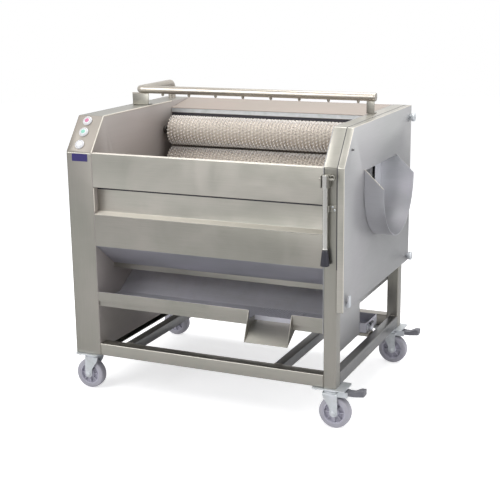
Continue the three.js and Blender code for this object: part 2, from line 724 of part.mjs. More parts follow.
const corners = {
  front_left: { side: -1, rear: false, fromSide: 40, fromEnd: 40, braked: false },
  rear_left: { side: -1, rear: true, fromSide: 46, fromEnd: 40, braked: false },
  front_right: { side: 1, rear: false, fromSide: 23, fromEnd: 30, braked: true },
  rear_right: { side: 1, rear: true, fromSide: 29, fromEnd: 30, braked: true },
};

// Each swivel axis lies this far in from the frame's left or right side and from its front or back
function cornerPlace({ side, rear, fromSide, fromEnd }) {
  return { x: side > 0 ? coverLeft - fromSide : fromSide, y: rear ? depth - fromEnd : fromEnd };
}

function casterPlate(name, { x, y, side }) {
  const halfX = (side > 0 ? caster.plateX : caster.plateY) / 2;
  const halfY = (side > 0 ? caster.plateY : caster.plateX) / 2;
  const top = frameFoot - gap;
  const raceTop = top - caster.plateThickness;
  const race = rod('z', raceTop - caster.raceDepth, raceTop + caster.plateThickness / 2, x, y,
    caster.raceRadius);
  const plate = block(x - halfX, x + halfX, y - halfY, y + halfY, raceTop, top);
  piece(`caster_plate_${name}`, join(plate, race), 'zinc');
}

function casterFork(name, { x, y, side, braked }) {
  const wheelX = caster.trail * side;
  const raceTop = frameFoot - gap - caster.plateThickness - caster.raceDepth - gap;
  const legOutline = [
    [-caster.crownHalf, caster.crownTop],
    [-caster.crownHalf, caster.crownFoot],
    [wheelX - caster.legHalf, caster.legWaist],
    [wheelX - caster.legHalf, caster.legFoot + caster.edge],
    [wheelX - caster.boltRadius, caster.legFoot],
    [wheelX + caster.boltRadius, caster.legFoot],
    [wheelX + caster.legHalf, caster.legFoot + caster.edge],
    [wheelX + caster.legHalf, caster.legWaist],
    [caster.crownHalf, caster.crownFoot],
    [caster.crownHalf, caster.crownTop],
  ];
  const { crownHalf, legInner, legOuter } = caster;
  const axleEnd = legOuter + caster.boltHead;
  const onAxle = (from, to, radius) => rod('y', from, to, wheelX, caster.wheelRadius, radius, smallSides);
  const parts = [
    block(-crownHalf, crownHalf, -legOuter, legOuter, caster.crownFoot, caster.crownTop),
    alongY(legOutline, -legOuter, -legInner),
    alongY(legOutline, legInner, legOuter),
    rod('z', caster.crownFoot, raceTop, 0, 0, caster.forkRaceRadius),
    onAxle(-axleEnd, axleEnd, caster.axleRadius),
    onAxle(-axleEnd, -legInner, caster.boltRadius),
    onAxle(legInner, axleEnd, caster.boltRadius),
  ];
  if (braked) {
    const cheekOutline = [
      [brakeCheek.near, brakeCheek.foot],
      [brakeCheek.far, brakeCheek.foot],
      [brakeCheek.far, brakeCheek.top],
      [brakeCheek.step, brakeCheek.top],
      [brakeCheek.near, brakeCheek.shoulder],
    ];
    const inside = pedal.halfWidth + gap;
    const outside = inside + brakeCheek.thickness;
    parts.push(
      alongY(cheekOutline, -outside, -inside),
      alongY(cheekOutline, inside, outside),
      rod('y', gap - outside, outside - gap, pedal.hingeX, pedal.hingeZ, pedal.pinRadius, smallSides));
  }
  piece(`caster_fork_${name}`, join(...parts).translate(x, y, 0), 'zinc');
}

function casterWheel(name, { x, y, side }) {
  const half = caster.wheelWidth / 2;
  const bore = caster.axleRadius + caster.axleClearance;
  const tread = caster.wheelRadius / Math.cos(Math.PI / wheelSides);
  const profile = [
    [bore, caster.dish - half],
    [caster.hubRadius, caster.dish - half],
    [caster.hubRadius, -half],
    [tread - caster.edge, -half],
    [tread, caster.edge - half],
    [tread, half - caster.edge],
    [tread - caster.edge, half],
    [caster.hubRadius, half],
    [caster.hubRadius, half - caster.dish],
    [bore, half - caster.dish],
    [bore, caster.dish - half],
  ].map(([radius, height]) => new THREE.Vector2(radius, height));
  const wheel = new THREE.LatheGeometry(profile, wheelSides).rotateY(Math.PI / wheelSides);
  piece(`caster_wheel_${name}`, wheel.translate(x + caster.trail * side, y, caster.wheelRadius), 'wheel');
}

function brakePedal(name, { x, y }) {
  const outline = [
    [pedal.near, pedal.foot],
    [pedal.waist, pedal.waistFoot],
    [pedal.throat, pedal.waistFoot],
    [pedal.tip, pedal.tipFoot],
    [pedal.tip, pedal.tipTop],
    [pedal.shoulder, pedal.tipTop],
    [pedal.neck, pedal.neckTop],
    [pedal.near, pedal.nearTop],
  ];
  const body = cut(alongY(outline, -pedal.halfWidth, pedal.halfWidth),
    rod('y', -pedal.halfWidth - overrun, pedal.halfWidth + overrun, pedal.hingeX, pedal.hingeZ, pedal.bore,
      smallSides));
  piece(`brake_pedal_${name}`, body.translate(x, y, 0), 'grip');
}

driveHousing();
housingInnerPlate();
controlPanel();
pushButtons();
frontPanels();
backPanels();
rightEndPlate();
dischargeGate();
rightFrame();
baseFrame();
sideCover();
coverFasteners();
dischargeChute();
gateLever();
sprayPipe();
catchTray();
wasteSpout();
drainPan();
brushRollers();
driveInside();
for (const [name, inset] of Object.entries(corners)) {
  const corner = { ...inset, ...cornerPlace(inset) };
  casterPlate(name, corner);
  casterFork(name, corner);
  casterWheel(name, corner);
  if (corner.braked) brakePedal(name, corner);
}

// The origin goes on the floor under the middle of the whole box
const bounds = new THREE.Box3().setFromObject(machine, true);
const middle = bounds.getCenter(new THREE.Vector3());
machine.position.set(-middle.x, -middle.y, -bounds.min.z);

export default machine;
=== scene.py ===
"""Looks of the electric potato peeler, in metres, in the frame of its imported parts."""

import math

import bmesh
import bpy
import numpy as np
from mathutils import Matrix, Vector


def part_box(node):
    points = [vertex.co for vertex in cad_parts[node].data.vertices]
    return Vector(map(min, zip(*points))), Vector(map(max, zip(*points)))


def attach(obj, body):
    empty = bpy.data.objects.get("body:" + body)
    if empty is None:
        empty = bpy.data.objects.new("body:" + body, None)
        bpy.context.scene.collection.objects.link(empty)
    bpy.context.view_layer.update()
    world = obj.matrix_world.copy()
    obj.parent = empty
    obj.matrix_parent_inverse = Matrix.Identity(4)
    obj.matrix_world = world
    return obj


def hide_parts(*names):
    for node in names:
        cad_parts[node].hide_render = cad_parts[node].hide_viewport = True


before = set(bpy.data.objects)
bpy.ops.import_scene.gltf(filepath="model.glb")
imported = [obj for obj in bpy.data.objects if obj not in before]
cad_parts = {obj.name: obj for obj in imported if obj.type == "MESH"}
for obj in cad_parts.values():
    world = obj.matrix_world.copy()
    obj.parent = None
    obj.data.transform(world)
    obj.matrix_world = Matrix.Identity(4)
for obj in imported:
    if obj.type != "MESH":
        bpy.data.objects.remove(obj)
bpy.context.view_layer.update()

bl_info = {
    "name": "Electric potato peeler",
    "version": (1, 0, 0),
    "blender": (4, 5, 0),
    "location": "View3D > Sidebar > Peeler",
    "description": "Builds the finished pieces of a brush roller potato peeler around its frame",
    "category": "Object",
}


# Sizes and colours that a user would change

def length(name, text, default):
    return bpy.props.FloatProperty(name=name, description=text, default=default, min=0, unit="LENGTH")


def colour(name, text, default):
    return bpy.props.FloatVectorProperty(name=name, description=text, default=default, size=3, min=0, max=1,
                                         subtype="COLOR")


class PeelerSizes(bpy.types.PropertyGroup):
    fold_radius: length("Fold radius", "Round of the folds and edges of the sheet metal", 0.0011)
    tube_radius: length("Tube corner radius", "Round of the long edges of the square tube", 0.003)
    weld_width: length("Weld width", "Width of the weld beads between the rails", 0.004)
    ring_pitch: length("Ring pitch", "Distance between the rings of bristle tufts along a roller", 0.0127)
    tuft_pitch: length("Tuft pitch", "Distance between neighbouring tufts of a ring, at their roots", 0.0098)
    tuft_height: length("Tuft height", "How far the bristle tufts stand out of the roller's core", 0.0122)
    hole_pitch: length("Strainer pitch", "Distance between the holes of the gutter strainer", 0.008)


class PeelerColours(bpy.types.PropertyGroup):
    steel: colour("Body steel", "Satin sheet of the body", (0.31, 0.3, 0.272))
    steel_side: colour("Side steel", "Satin sheet of the side cover", (0.44, 0.44, 0.45))
    steel_inner: colour("Inner steel", "Sheet of the rear rail and the pan's support", (0.34, 0.32, 0.29))
    steel_wall: colour("Wall steel", "Warm satin sheet behind the rollers", (0.37, 0.32, 0.285))
    steel_panel: colour("Panel steel", "Matt sheet of the control face", (0.375, 0.34, 0.305))
    steel_plate: colour("Plate steel", "Duller sheet beside the rollers", (0.4, 0.365, 0.35))
    # A pale tint for painted highlights on edges, ledges and rims, where light catches them
    painted_highlight: colour("Painted edge highlight", "Bright cut edges and ledges of the sheets", (0.74, 0.7, 0.63))
    steel_chute: colour("Chute steel", "Bluish sheet of the chute", (0.46, 0.46, 0.49))
    steel_pipe: colour("Pipe steel", "Satin spray pipe", (0.46, 0.425, 0.38))
    steel_tray: colour("Tray steel", "Bluish sheet of the tray and spout", (0.5, 0.5, 0.56))
    zinc: colour("Zinc plating", "Plated casters, screws and cover knobs", (0.64, 0.67, 0.7))
    bristle: colour("Bristle sides", "Pale sides of the bristle tufts", (0.9, 0.88, 0.87))
    bristle_end: colour("Bristle ends", "Beige cut ends of the bristle tufts", (0.78, 0.71, 0.62))
    core: colour("Brush core", "Beige core between the bristle tufts", (0.62, 0.56, 0.49))
    wheel: colour("Wheel tread", "Grey caster tread", (0.43, 0.42, 0.47))
    hub: colour("Wheel hub", "Paler ring of the caster wheel", (0.5, 0.49, 0.56))
    grip: colour("Grip", "Black moulded grip", (0.025, 0.025, 0.035))


def sizes():
    return bpy.context.scene.peeler_sizes


def colours():
    return bpy.context.scene.peeler_colours


# Node trees

def fill(tree, node, inputs):
    """Gives a node's inputs, by name or number, a value or the socket they are linked from, and returns its outputs."""
    for key, value in inputs.items():
        if isinstance(value, bpy.types.NodeSocket):
            tree.links.new(value, node.inputs[key])
        else:
            node.inputs[key].default_value = value
    return node.outputs


def add_node(tree, kind, inputs=None, **settings):
    node = tree.nodes.new("ShaderNode" + kind)
    for key, value in settings.items():
        setattr(node, key, value)
    return fill(tree, node, inputs or {})


def noise(tree, vector, scale, detail, roughness=0.5, distortion=0.0):
    return add_node(tree, "TexNoise", {"Vector": vector, "Scale": scale, "Detail": detail,
                                       "Roughness": roughness, "Distortion": distortion})["Fac"]


def blended(tree, factor, low, high, how="MIX"):
    """A colour from low to high by a factor, where each is a plain colour or a socket."""
    low, high = (c if isinstance(c, bpy.types.NodeSocket) else (*c, 1) for c in (low, high))
    return add_node(tree, "Mix", {0: factor, 6: low, 7: high}, data_type="RGBA", blend_type=how)[2]


def ranged(tree, value, low, high, start=0.3, end=0.7):
    """A number from low to high while the value goes from start to end."""
    return add_node(tree, "MapRange", {"Value": value, "From Min": start, "From Max": end,
                                       "To Min": low, "To Max": high})[0]


def product(tree, one, other):
    return add_node(tree, "Math", {0: one, 1: other}, operation="MULTIPLY")[0]


def bump(tree, height, strength, distance):
    return add_node(tree, "Bump", {"Height": height, "Strength": strength, "Distance": distance})[0]


def new_group(name, inputs, outputs):
    """A node group with inputs (name, kind, value) and float outputs: its tree, what it is given, and its end."""
    group = bpy.data.node_groups.new(name, "ShaderNodeTree")
    for label, kind, value in inputs:
        socket = group.interface.new_socket(label, in_out="INPUT", socket_type="NodeSocket" + kind)
        if value is not None:
            socket.default_value = value
    for label in outputs:
        group.interface.new_socket(label, in_out="OUTPUT", socket_type="NodeSocketFloat")
    return group, group.nodes.new("NodeGroupInput").outputs, group.nodes.new("NodeGroupOutput")


def group_node(tree, maker, inputs):
    """Places the group of a maker, built at its first use, and gives its outputs."""
    name = maker.__name__.replace("_", " ").capitalize()
    return add_node(tree, "Group", inputs, node_tree=bpy.data.node_groups.get(name) or maker(name))


def sheet_grain(name):
    """Grain of rolled or brushed sheet: fine lines from a stretched noise, soft clouds from a wide one.

    Tone is lines and clouds together, Cloud the clouds alone, Height the lines for a bump."""
    group, given, end = new_group(
        name, [("Vector", "Vector", None), ("Stretch", "Vector", (6.0, 500.0, 500.0)), ("Cloud size", "Float", 2.5)],
        ("Tone", "Cloud", "Height"))
    stretched = add_node(group, "VectorMath", {0: given["Vector"], 1: given["Stretch"]}, operation="MULTIPLY")
    lines = noise(group, stretched[0], 1.0, 3.0, 0.7)
    clouds = noise(group, given["Vector"], given["Cloud size"], 3.0, 0.55, 0.6)
    tone = add_node(group, "Mix", {0: 0.6, 2: lines, 3: clouds}, data_type="FLOAT")[0]
    fill(group, end, {"Tone": tone, "Cloud": clouds, "Height": lines})
    return group


def dust(name):
    """Dust and water marks: a mask of spots from a noise, stronger towards the floor."""
    group, given, end = new_group(name, [("Vector", "Vector", None), ("Amount", "Float", 0.3)], ("Mask",))
    spots = ranged(group, noise(group, given["Vector"], 38.0, 5.0, 0.7), 0.0, 1.0, 0.45, 0.75)
    height = add_node(group, "SeparateXYZ", {0: given["Vector"]})["Z"]
    low = product(group, spots, ranged(group, height, 1.0, 0.15, 0.1, 0.7))
    fill(group, end, {"Mask": product(group, low, given["Amount"])})
    return group


def material(name):
    """A new material with its Principled shader, and the Object coordinates that patterns read."""
    made = bpy.data.materials.new(name)
    made.use_nodes = True
    tree = made.node_tree
    return tree, tree.nodes["Principled BSDF"], add_node(tree, "TexCoord")["Object"]


def seen_rays(tree):
    """One where the eye, a reflection or a view through glass meets the surface, and zero for plain light."""
    path = add_node(tree, "LightPath")
    total = path["Is Camera Ray"]
    for kind in ("Is Glossy Ray", "Is Transmission Ray"):
        total = add_node(tree, "Math", {0: total, 1: path[kind]}, operation="MAXIMUM")[0]
    return total


# Finishes: noise scales per metre, bump distances in metres

GRAIN_X = (8.0, 700.0, 700.0)
GRAIN_Y = (700.0, 8.0, 700.0)
GRAIN_Z = (700.0, 700.0, 8.0)


def shade(tint, share):
    return [share * c for c in tint]


def varied(tree, tone, tint, spread, dark=(1, 1, 1), light=(1, 1, 1)):
    """A tint that goes down and up by its spread with the tone, with a hue at either end."""
    low = [c * (1 - spread) * hue for c, hue in zip(tint, dark)]
    high = [min(c * (1 + spread) * hue, 1) for c, hue in zip(tint, light)]
    return blended(tree, ranged(tree, tone, 0.0, 1.0), low, high)


def dusted(tree, coords, paint, amount, tint):
    return blended(tree, group_node(tree, dust, {"Vector": coords, "Amount": amount})["Mask"], paint, tint)


def faded(tree, coords, paint, direction, start, end, share):
    """Painted shade: dims a colour along a direction of the object's coordinates, in full up to start, to a share of it
    at end.
    """
    along = add_node(tree, "VectorMath", {0: coords, 1: direction}, operation="DOT_PRODUCT")["Value"]
    return blended(tree, ranged(tree, along, 0.0, 1.0, start, end), paint, (share, share, share), "MULTIPLY")


def steel(name, tint, stretch, roughness, spread=0.08, metallic=0.9, cloud_size=2.5, dusty=0.15, lines=0.2,
          painted_shade=None):
    """Stainless sheet: tint varied by the grain's tone, roughness by its clouds, a bump from its lines.

    A painted shade is a direction, where it starts, where it ends and the share of the tint that is left there: a
    gradient of light and shade painted into the colour."""
    tree, shader, coords = material(name)
    grain = group_node(tree, sheet_grain, {"Vector": coords, "Stretch": stretch, "Cloud size": cloud_size})
    paint = varied(tree, grain["Tone"], tint, spread, (0.98, 1.01, 0.97), (1.02, 0.99, 1.0))
    paint = dusted(tree, coords, paint, dusty, (0.35, 0.33, 0.29))
    fill(tree, shader, {
        "Base Color": faded(tree, coords, paint, *painted_shade) if painted_shade else paint, "Metallic": metallic,
        "Roughness": ranged(tree, grain["Cloud"], roughness * 0.8, roughness * 1.25),
        "Normal": bump(tree, grain["Height"], lines, 0.0002)})


def moulded(name, tint, roughness, spread=0.06, coat=0.0, fine=900.0):
    """Moulded plastic, rubber or enamel: a fine orange-peel bump and a slight change of tone."""
    tree, shader, coords = material(name)
    wide = noise(tree, coords, 14.0, 4.0)
    paint = varied(tree, wide, tint, spread)
    fill(tree, shader, {
        "Base Color": dusted(tree, coords, paint, 0.35, [0.6 * c + 0.12 for c in tint]), "Coat Weight": coat,
        "Roughness": ranged(tree, wide, roughness * 0.85, min(roughness * 1.15, 1)),
        "Normal": bump(tree, noise(tree, coords, fine, 2.0), 0.15, 0.0003)})


def painted(name, tint, roughness):
    """Matt paint over sheet: a coarser peel under a thin coat."""
    moulded(name, tint, roughness, spread=0.08, coat=0.1, fine=600.0)


def bristles(name, tint, root):
    """Nylon: a bundle of fine filaments, paler from the root to the tip by the tuft_height attribute; the darker root
    is painted shade.
    """
    tree, shader, coords = material(name)
    height = add_node(tree, "Attribute", attribute_name="tuft_height")["Fac"]
    filaments = add_node(tree, "TexVoronoi", {"Vector": coords, "Scale": 850.0})["Distance"]
    tint = np.array(tint)
    tone = ranged(tree, noise(tree, coords, 9.0, 3.0), 0.0, 1.0)
    pale = blended(tree, tone, tint * 0.95, np.minimum(tint * 1.06, 1))
    fill(tree, shader, {
        "Base Color": blended(tree, ranged(tree, height, 0.0, 1.0, 0.1, 0.7), tint * root, pale),
        "Roughness": ranged(tree, filaments, 0.5, 0.75, 0.0, 0.6),
        "Normal": bump(tree, filaments, 0.4, 0.0008)})


def finishes():
    """Every finish by name, all made at the first call."""
    made = bpy.data.materials
    if "Body sheet" in made:
        return made
    of = colours()
    steel("Body sheet", of.steel, GRAIN_X, 0.36, 0.13, cloud_size=6.0)
    steel("Apron sheet", shade(of.steel, 1.4), GRAIN_X, 0.36, 0.13, cloud_size=6.0)
    steel("Box sheet", of.steel, GRAIN_Z, 0.38, 0.1, cloud_size=5.0)
    steel("Panel sheet", of.steel_panel, GRAIN_Z, 0.55, 0.06, 0.4, lines=0.1)
    steel("Cover sheet", of.steel_side, GRAIN_Y, 0.34, 0.08, 0.85, 1.8, 0.1)
    # The side cover's outward face: the side steel lightened and dimmed towards its lower back, a painted sheen and
    # painted shade
    steel("Cover face painted sheen", shade(of.steel_side, 1.38), GRAIN_Y, 0.38, 0.08, 0.85, 1.8, 0.1,
          painted_shade=((0, 0.5, -0.86), -0.9, -0.35, 0.6))
    steel("Frame tube", shade(of.steel, 1.15), GRAIN_X, 0.32, dusty=0.3)
    steel("Frame tube across", shade(of.steel_side, 0.48), GRAIN_Y, 0.36, dusty=0.3)
    steel("Frame tube upright", of.steel, GRAIN_Z, 0.32, dusty=0.25)
    steel("Inner sheet", of.steel_inner, GRAIN_X, 0.3, dusty=0.3)
    steel("Wall sheet", of.steel_wall, GRAIN_X, 0.55, 0.05, 0.3, lines=0.1)
    steel("Plate sheet", of.steel_plate, GRAIN_Y, 0.5, 0.06, 0.45, lines=0.1)
    # Painted highlight: bright rods and upward faces that stand for light caught on edges and ledges
    steel("Painted edge highlight", of.painted_highlight, GRAIN_X, 0.45, 0.04, 0.3, lines=0.05)
    steel("Chute sheet", of.steel_chute, GRAIN_X, 0.34, 0.08, 0.7, lines=0.1)
    # The lining: the chute steel lightened for the inside and dimmed towards the bottom, painted light and painted
    # shade
    steel("Chute lining painted light", shade(of.steel_chute, 1.5), GRAIN_X, 0.42, 0.08, 0.45, 6.0, lines=0.1,
          painted_shade=((0, 0, -1), -0.68, -0.56, 0.42))
    steel("Pipe steel", of.steel_pipe, GRAIN_X, 0.3, 0.04, 0.85, lines=0.05)
    steel("Lever steel", (0.6, 0.59, 0.57), GRAIN_Z, 0.26, 0.06, 0.95, lines=0.05)
    # Painted shade: a darker copy of the tray sheet for faces that look down into shade
    steel("Shade sheet", shade(of.steel_tray, 0.66), GRAIN_X, 0.4, 0.15, 0.45, 5.0)
    steel("Tray sheet", of.steel_tray, GRAIN_X, 0.4, 0.12, 0.45, 5.0, 0.3)
    steel("Zinc", of.zinc, (60.0, 60.0, 60.0), 0.42, 0.12, 0.65, 30.0, 0.25)
    steel("Weld", shade(of.steel, 0.8), (90.0, 90.0, 90.0), 0.42, 0.25, cloud_size=40.0, dusty=0.3)
    # Painted shade: a near black for the bar that stands for a screw's slot
    steel("Painted slot shade", (0.08, 0.08, 0.085), (90.0, 90.0, 90.0), 0.6, 0.2)
    # The bristle sides darken towards their roots: painted shade between the tufts
    bristles("Bristle sides", of.bristle, (0.74, 0.7, 0.66))
    bristles("Bristle ends", of.bristle_end, (1, 1, 1))
    bristles("Brush core", of.core, (1, 1, 1))
    moulded("Wheel tread", of.wheel, 0.55)
    moulded("Wheel hub", of.hub, 0.5)
    moulded("Black grip", of.grip, 0.42, spread=0.2)
    moulded("Pedal plastic", (0.17, 0.17, 0.19), 0.45, spread=0.15)
    moulded("Red button", (0.62, 0.2, 0.34), 0.5)
    moulded("Green button", (0.26, 0.6, 0.47), 0.5)
    moulded("White button", (0.78, 0.78, 0.79), 0.5)
    moulded("Button collar", (0.74, 0.74, 0.76), 0.5)
    painted("Violet plate", (0.024, 0.016, 0.13), 0.7)
    # Painted shade: a near black for the strips put in gaps where shade falls
    moulded("Painted gap shade", (0.035, 0.034, 0.045), 0.6, spread=0.15)
    painted("Gearbox enamel", (0.07, 0.1, 0.13), 0.45)
    steel("Chain steel", (0.09, 0.085, 0.08), (200.0, 200.0, 200.0), 0.4, 0.3)
    return made


# Surfaces: points in millimetres from the front left corner of the drive box, with the floor at zero

HOUSING_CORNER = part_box("drive_side_sheet")[0]
ORIGIN = np.array([HOUSING_CORNER.x, HOUSING_CORNER.y, 0.0])
MM = 0.001
X_AXES = np.array([[0, 0, 1], [1, 0, 0], [0, 1, 0]], float)
Y_AXES = np.array([[1, 0, 0], [0, 0, 1], [0, -1, 0]], float)
CARRIED = {"x": (2, 0, 1), "y": (0, 2, 1), "z": (0, 1, 2)}
TUBE_WALL = 2.0


def surface(points, *faces, kind=0):
    """Points and the arrays of faces between them, each with the number of its material."""
    return np.asarray(points, float).reshape(-1, 3), [(np.asarray(f, int), kind) for f in faces if len(f)]


def together(*parts):
    points, faces, start = [], [], 0
    for part_points, part_faces in parts:
        points.append(part_points)
        faces += [(indices + start, kind) for indices, kind in part_faces]
        start += len(part_points)
    return np.concatenate(points), faces


def repeated(part, places, axes=None):
    """One shape at many places: each copy is the shape turned by its axes and moved to its place."""
    points, faces = part
    places = np.asarray(places, float).reshape(-1, 3)
    axes = np.eye(3)[None] if axes is None else np.asarray(axes, float).reshape(-1, 3, 3)
    axes = np.broadcast_to(axes, (len(places), 3, 3))
    every = np.einsum("mij,nj->mni", axes, points) + places[:, None]
    starts = np.arange(len(places))[:, None, None] * len(points)
    faces = [((indices[None] + starts).reshape(-1, indices.shape[1]), kind) for indices, kind in faces]
    return every.reshape(-1, 3), faces


def unit(vectors):
    vectors = np.asarray(vectors, float)
    return vectors / np.linalg.norm(vectors, axis=-1, keepdims=True)


def grid_faces(rows, columns, rows_closed=False, columns_closed=False):
    """The four-cornered faces of a grid of points, row by row."""
    i = np.arange(rows if rows_closed else rows - 1)[:, None]
    j = np.arange(columns if columns_closed else columns - 1)[None, :]
    here, next_row, beside = i * columns, (i + 1) % rows * columns, (j + 1) % columns
    corners = np.broadcast_arrays(here + j, here + beside, next_row + beside, next_row + j)
    return np.stack(corners, -1).reshape(-1, 4)


def loft(rings, joined=False, kind=0):
    """Closed rings of points, each tied to the next: the last to the first where joined, or a face over each end."""
    rows, columns = rings.shape[:2]
    ends = [] if joined else [[np.arange(columns)], [np.arange(columns) + (rows - 1) * columns]]
    return surface(rings, grid_faces(rows, columns, joined, True), *ends, kind=kind)


def rounded(points, radius, steps=4, closed=True):
    """Corners of a line rounded: each gives way to an arc that touches both of its sides.

    The arc's points are start and end weighted by sin((1 - t) sweep) and sin(t sweep) over sin(sweep)."""
    p = np.array(points, float)
    back, on = np.roll(p, 1, 0) - p, np.roll(p, -1, 0) - p
    back_length, on_length = np.linalg.norm(back, axis=1), np.linalg.norm(on, axis=1)
    back, on = back / back_length[:, None], on / on_length[:, None]
    half = np.arccos(np.clip((back * on).sum(1), -0.99999, 0.99999)) / 2
    reach = np.minimum(radius / np.tan(half), 0.48 * np.minimum(back_length, on_length))
    if not closed:
        reach[[0, -1]] = 0
    middle = (back + on) / np.maximum(np.linalg.norm(back + on, axis=1), 1e-9)[:, None]
    centre = p + middle * (reach / np.cos(half))[:, None]
    start, end = p + back * reach[:, None] - centre, p + on * reach[:, None] - centre
    sweep = (np.pi - 2 * half)[:, None, None]
    t = np.linspace(0, 1, steps + 1)[None, :, None]
    arc = (start[:, None] * np.sin((1 - t) * sweep) + end[:, None] * np.sin(t * sweep)) / np.sin(sweep)
    arc = (centre[:, None] + arc).reshape(-1, p.shape[1])
    return arc if closed else arc[steps:len(arc) - steps]


def rectangle(x0, x1, y0, y1):
    return [(x0, y0), (x1, y0), (x1, y1), (x0, y1)]


def prism(outline, start, end, axis="x", kind=0):
    """A flat outline carried along an axis: (y, z) along X, (x, z) along Y or (x, y) along Z."""
    rings = [np.column_stack([outline, np.full(len(outline), float(z))])[:, CARRIED[axis]] for z in (start, end)]
    return loft(np.stack(rings), kind=kind)


def block(x0, x1, y0, y1, start, end, axis="z", radius=0.0, kind=0):
    """A rectangle, its corners rounded where a radius is given, carried along an axis."""
    outline = rectangle(x0, x1, y0, y1)
    return prism(rounded(outline, radius) if radius else outline, start, end, axis, kind)


def turned(profile, steps=32, kind=0, closed=False, flat_sides=0):
    """A profile of (radius, height) turned about Z: x = r cos t, y = r sin t, z = h.

    With flat sides the radius is divided by the cosine of the way to the nearest flat's middle."""
    profile = np.array(profile, float)
    angle = np.arange(steps) * 2 * np.pi / steps
    reach = np.ones(steps)
    if flat_sides:
        part = np.pi / flat_sides
        reach = 1 / np.cos((angle + part) % (2 * part) - part)
    r, h = profile[:, :1] * reach, np.broadcast_to(profile[:, 1:], (len(profile), steps))
    return loft(np.stack([r * np.cos(angle), r * np.sin(angle), h], -1), closed, kind)


def swept(path, radius, side, sides):
    """A circle carried along a flat path: point = path + radius (side cos t + across sin t).

    side is the direction square to the path's plane, across is square to side and the path."""
    path = np.array(path, float)
    side = np.array(side, float)
    across = np.cross(unit(np.gradient(path, axis=0)), side)
    angle = np.arange(sides) * 2 * np.pi / sides
    radius = np.broadcast_to(radius, len(path))[:, None, None]
    ring = side[None, None] * np.cos(angle)[None, :, None] + across[:, None] * np.sin(angle)[None, :, None]
    return loft(path[:, None] + radius * ring)


def spaced(path, pitch):
    """A line of points laid again at even steps no longer than the pitch."""
    path = np.array(path, float)
    lengths = np.concatenate([[0], np.cumsum(np.linalg.norm(np.diff(path, axis=0), axis=1))])
    t = np.linspace(0, lengths[-1], max(int(lengths[-1] / pitch), 2) + 1)
    return np.stack([np.interp(t, lengths, path[:, k]) for k in range(path.shape[1])], 1)


def weld_bead(start, end, side, width):
    """A bead with ripples: its radius swells and shrinks by a fifth along a straight line, and tapers at its ends."""
    path = spaced([start, end], width * 0.18)
    step = np.arange(len(path))
    ripple = 1 + 0.22 * np.sin(step * 2 * np.pi / 4.0)
    taper = np.clip(np.minimum(step, step[::-1]) / 3 + 0.35, 0, 1)
    return swept(path, width / 2 * ripple * taper, side, 8)


def square_tube(axis, start, end, a0, a1, b0, b1, cut_end=None):
    """A rounded square carried along an axis, outside and inside, open at both ends.

    cut_end gives the far end of each point from its two other coordinates, where the end is slanted."""
    radius = sizes().tube_radius / MM
    outer = rounded(rectangle(a0, a1, b0, b1), radius)
    inner = rounded(rectangle(a0 + TUBE_WALL, a1 - TUBE_WALL, b0 + TUBE_WALL, b1 - TUBE_WALL),
                    max(radius - TUBE_WALL, 0.6))
    stations = [np.full(len(outer), float(s)) for s in (start, end, end, start)]
    if cut_end:
        stations[1], stations[2] = cut_end(outer), cut_end(inner)
    rings = [np.column_stack([loop, station])[:, CARRIED[axis]]
             for loop, station in zip((outer, outer, inner, inner), stations)]
    return loft(np.stack(rings), joined=True)


def bolt(radius, height, washer=1.55):
    """A hexagon head with a chamfered top on a washer, standing on Z zero."""
    plate = turned([(radius * washer, 0), (radius * washer, 0.9), (radius * washer - 0.5, 1.3), (radius, 1.3)], 24)
    head = turned([(radius, 1.2), (radius, 1.2 + height * 0.85), (radius * 0.88, 1.2 + height), (0.5, 1.2 + height)],
                  24, flat_sides=6)
    return together(plate, head)


def round_screw(radius, height):
    """A domed screw head with a slot: the dome is r = R cos t, h = H sin t, and a bar in painted shade stands for the
    slot.
    """
    t = np.linspace(0, np.pi / 2 * 0.97, 7)
    dome = turned(np.stack([radius * np.cos(t), height * np.sin(t)], 1), 20)
    slot = block(-radius * 0.8, radius * 0.8, -radius * 0.11, radius * 0.11, height * 0.6, height * 1.02, kind=1)
    return together(dome, slot)


def facing(direction):
    """Axes whose Z points along a direction, for a shape made standing on Z."""
    z = unit(direction)
    x = unit(np.cross([0.0, 1.0, 0.0] if abs(z[2]) > 0.99 else [0.0, 0.0, 1.0], z))
    return np.stack([x, np.cross(z, x), z], 1)


def moved(part, place=(0.0, 0.0, 0.0), axes=None):
    return repeated(part, [place], axes)


# Finished pieces

BODY = "machine"
BRUSHED = "body_steel"
FOLD_ANGLE = math.radians(24)
WITHIN_30_DEGREES = 0.866


def tidy_mesh(mesh, distance=1e-6, flat=False):
    """A mesh opened for work, with doubled points joined, faces turned outwards and flat ones merged."""
    shape = bmesh.new()
    shape.from_mesh(mesh)
    bmesh.ops.remove_doubles(shape, verts=shape.verts, dist=distance)
    if flat:
        bmesh.ops.dissolve_limit(shape, angle_limit=math.radians(0.5), verts=shape.verts, edges=shape.edges)
    bmesh.ops.recalc_face_normals(shape, faces=shape.faces)
    return shape


def smooth_object(name, mesh, shape):
    """Closes a mesh that was opened for work, shades it smooth and makes it an object."""
    shape.to_mesh(mesh)
    shape.free()
    mesh.polygons.foreach_set("use_smooth", np.ones(len(mesh.polygons), bool))
    return bpy.data.objects.new(name, mesh)


def softened(obj, width, method):
    soften = obj.modifiers.new("Edges", "BEVEL")
    soften.width = width * MM
    soften.segments = 2
    soften.limit_method = method
    soften.harden_normals = True
    return soften


def placed(obj, finish_names, body, nodes):
    for name in finish_names:
        obj.data.materials.append(finishes()[name])
    bpy.context.scene.collection.objects.link(obj)
    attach(obj, body)
    if nodes:
        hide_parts(*nodes)
    return obj


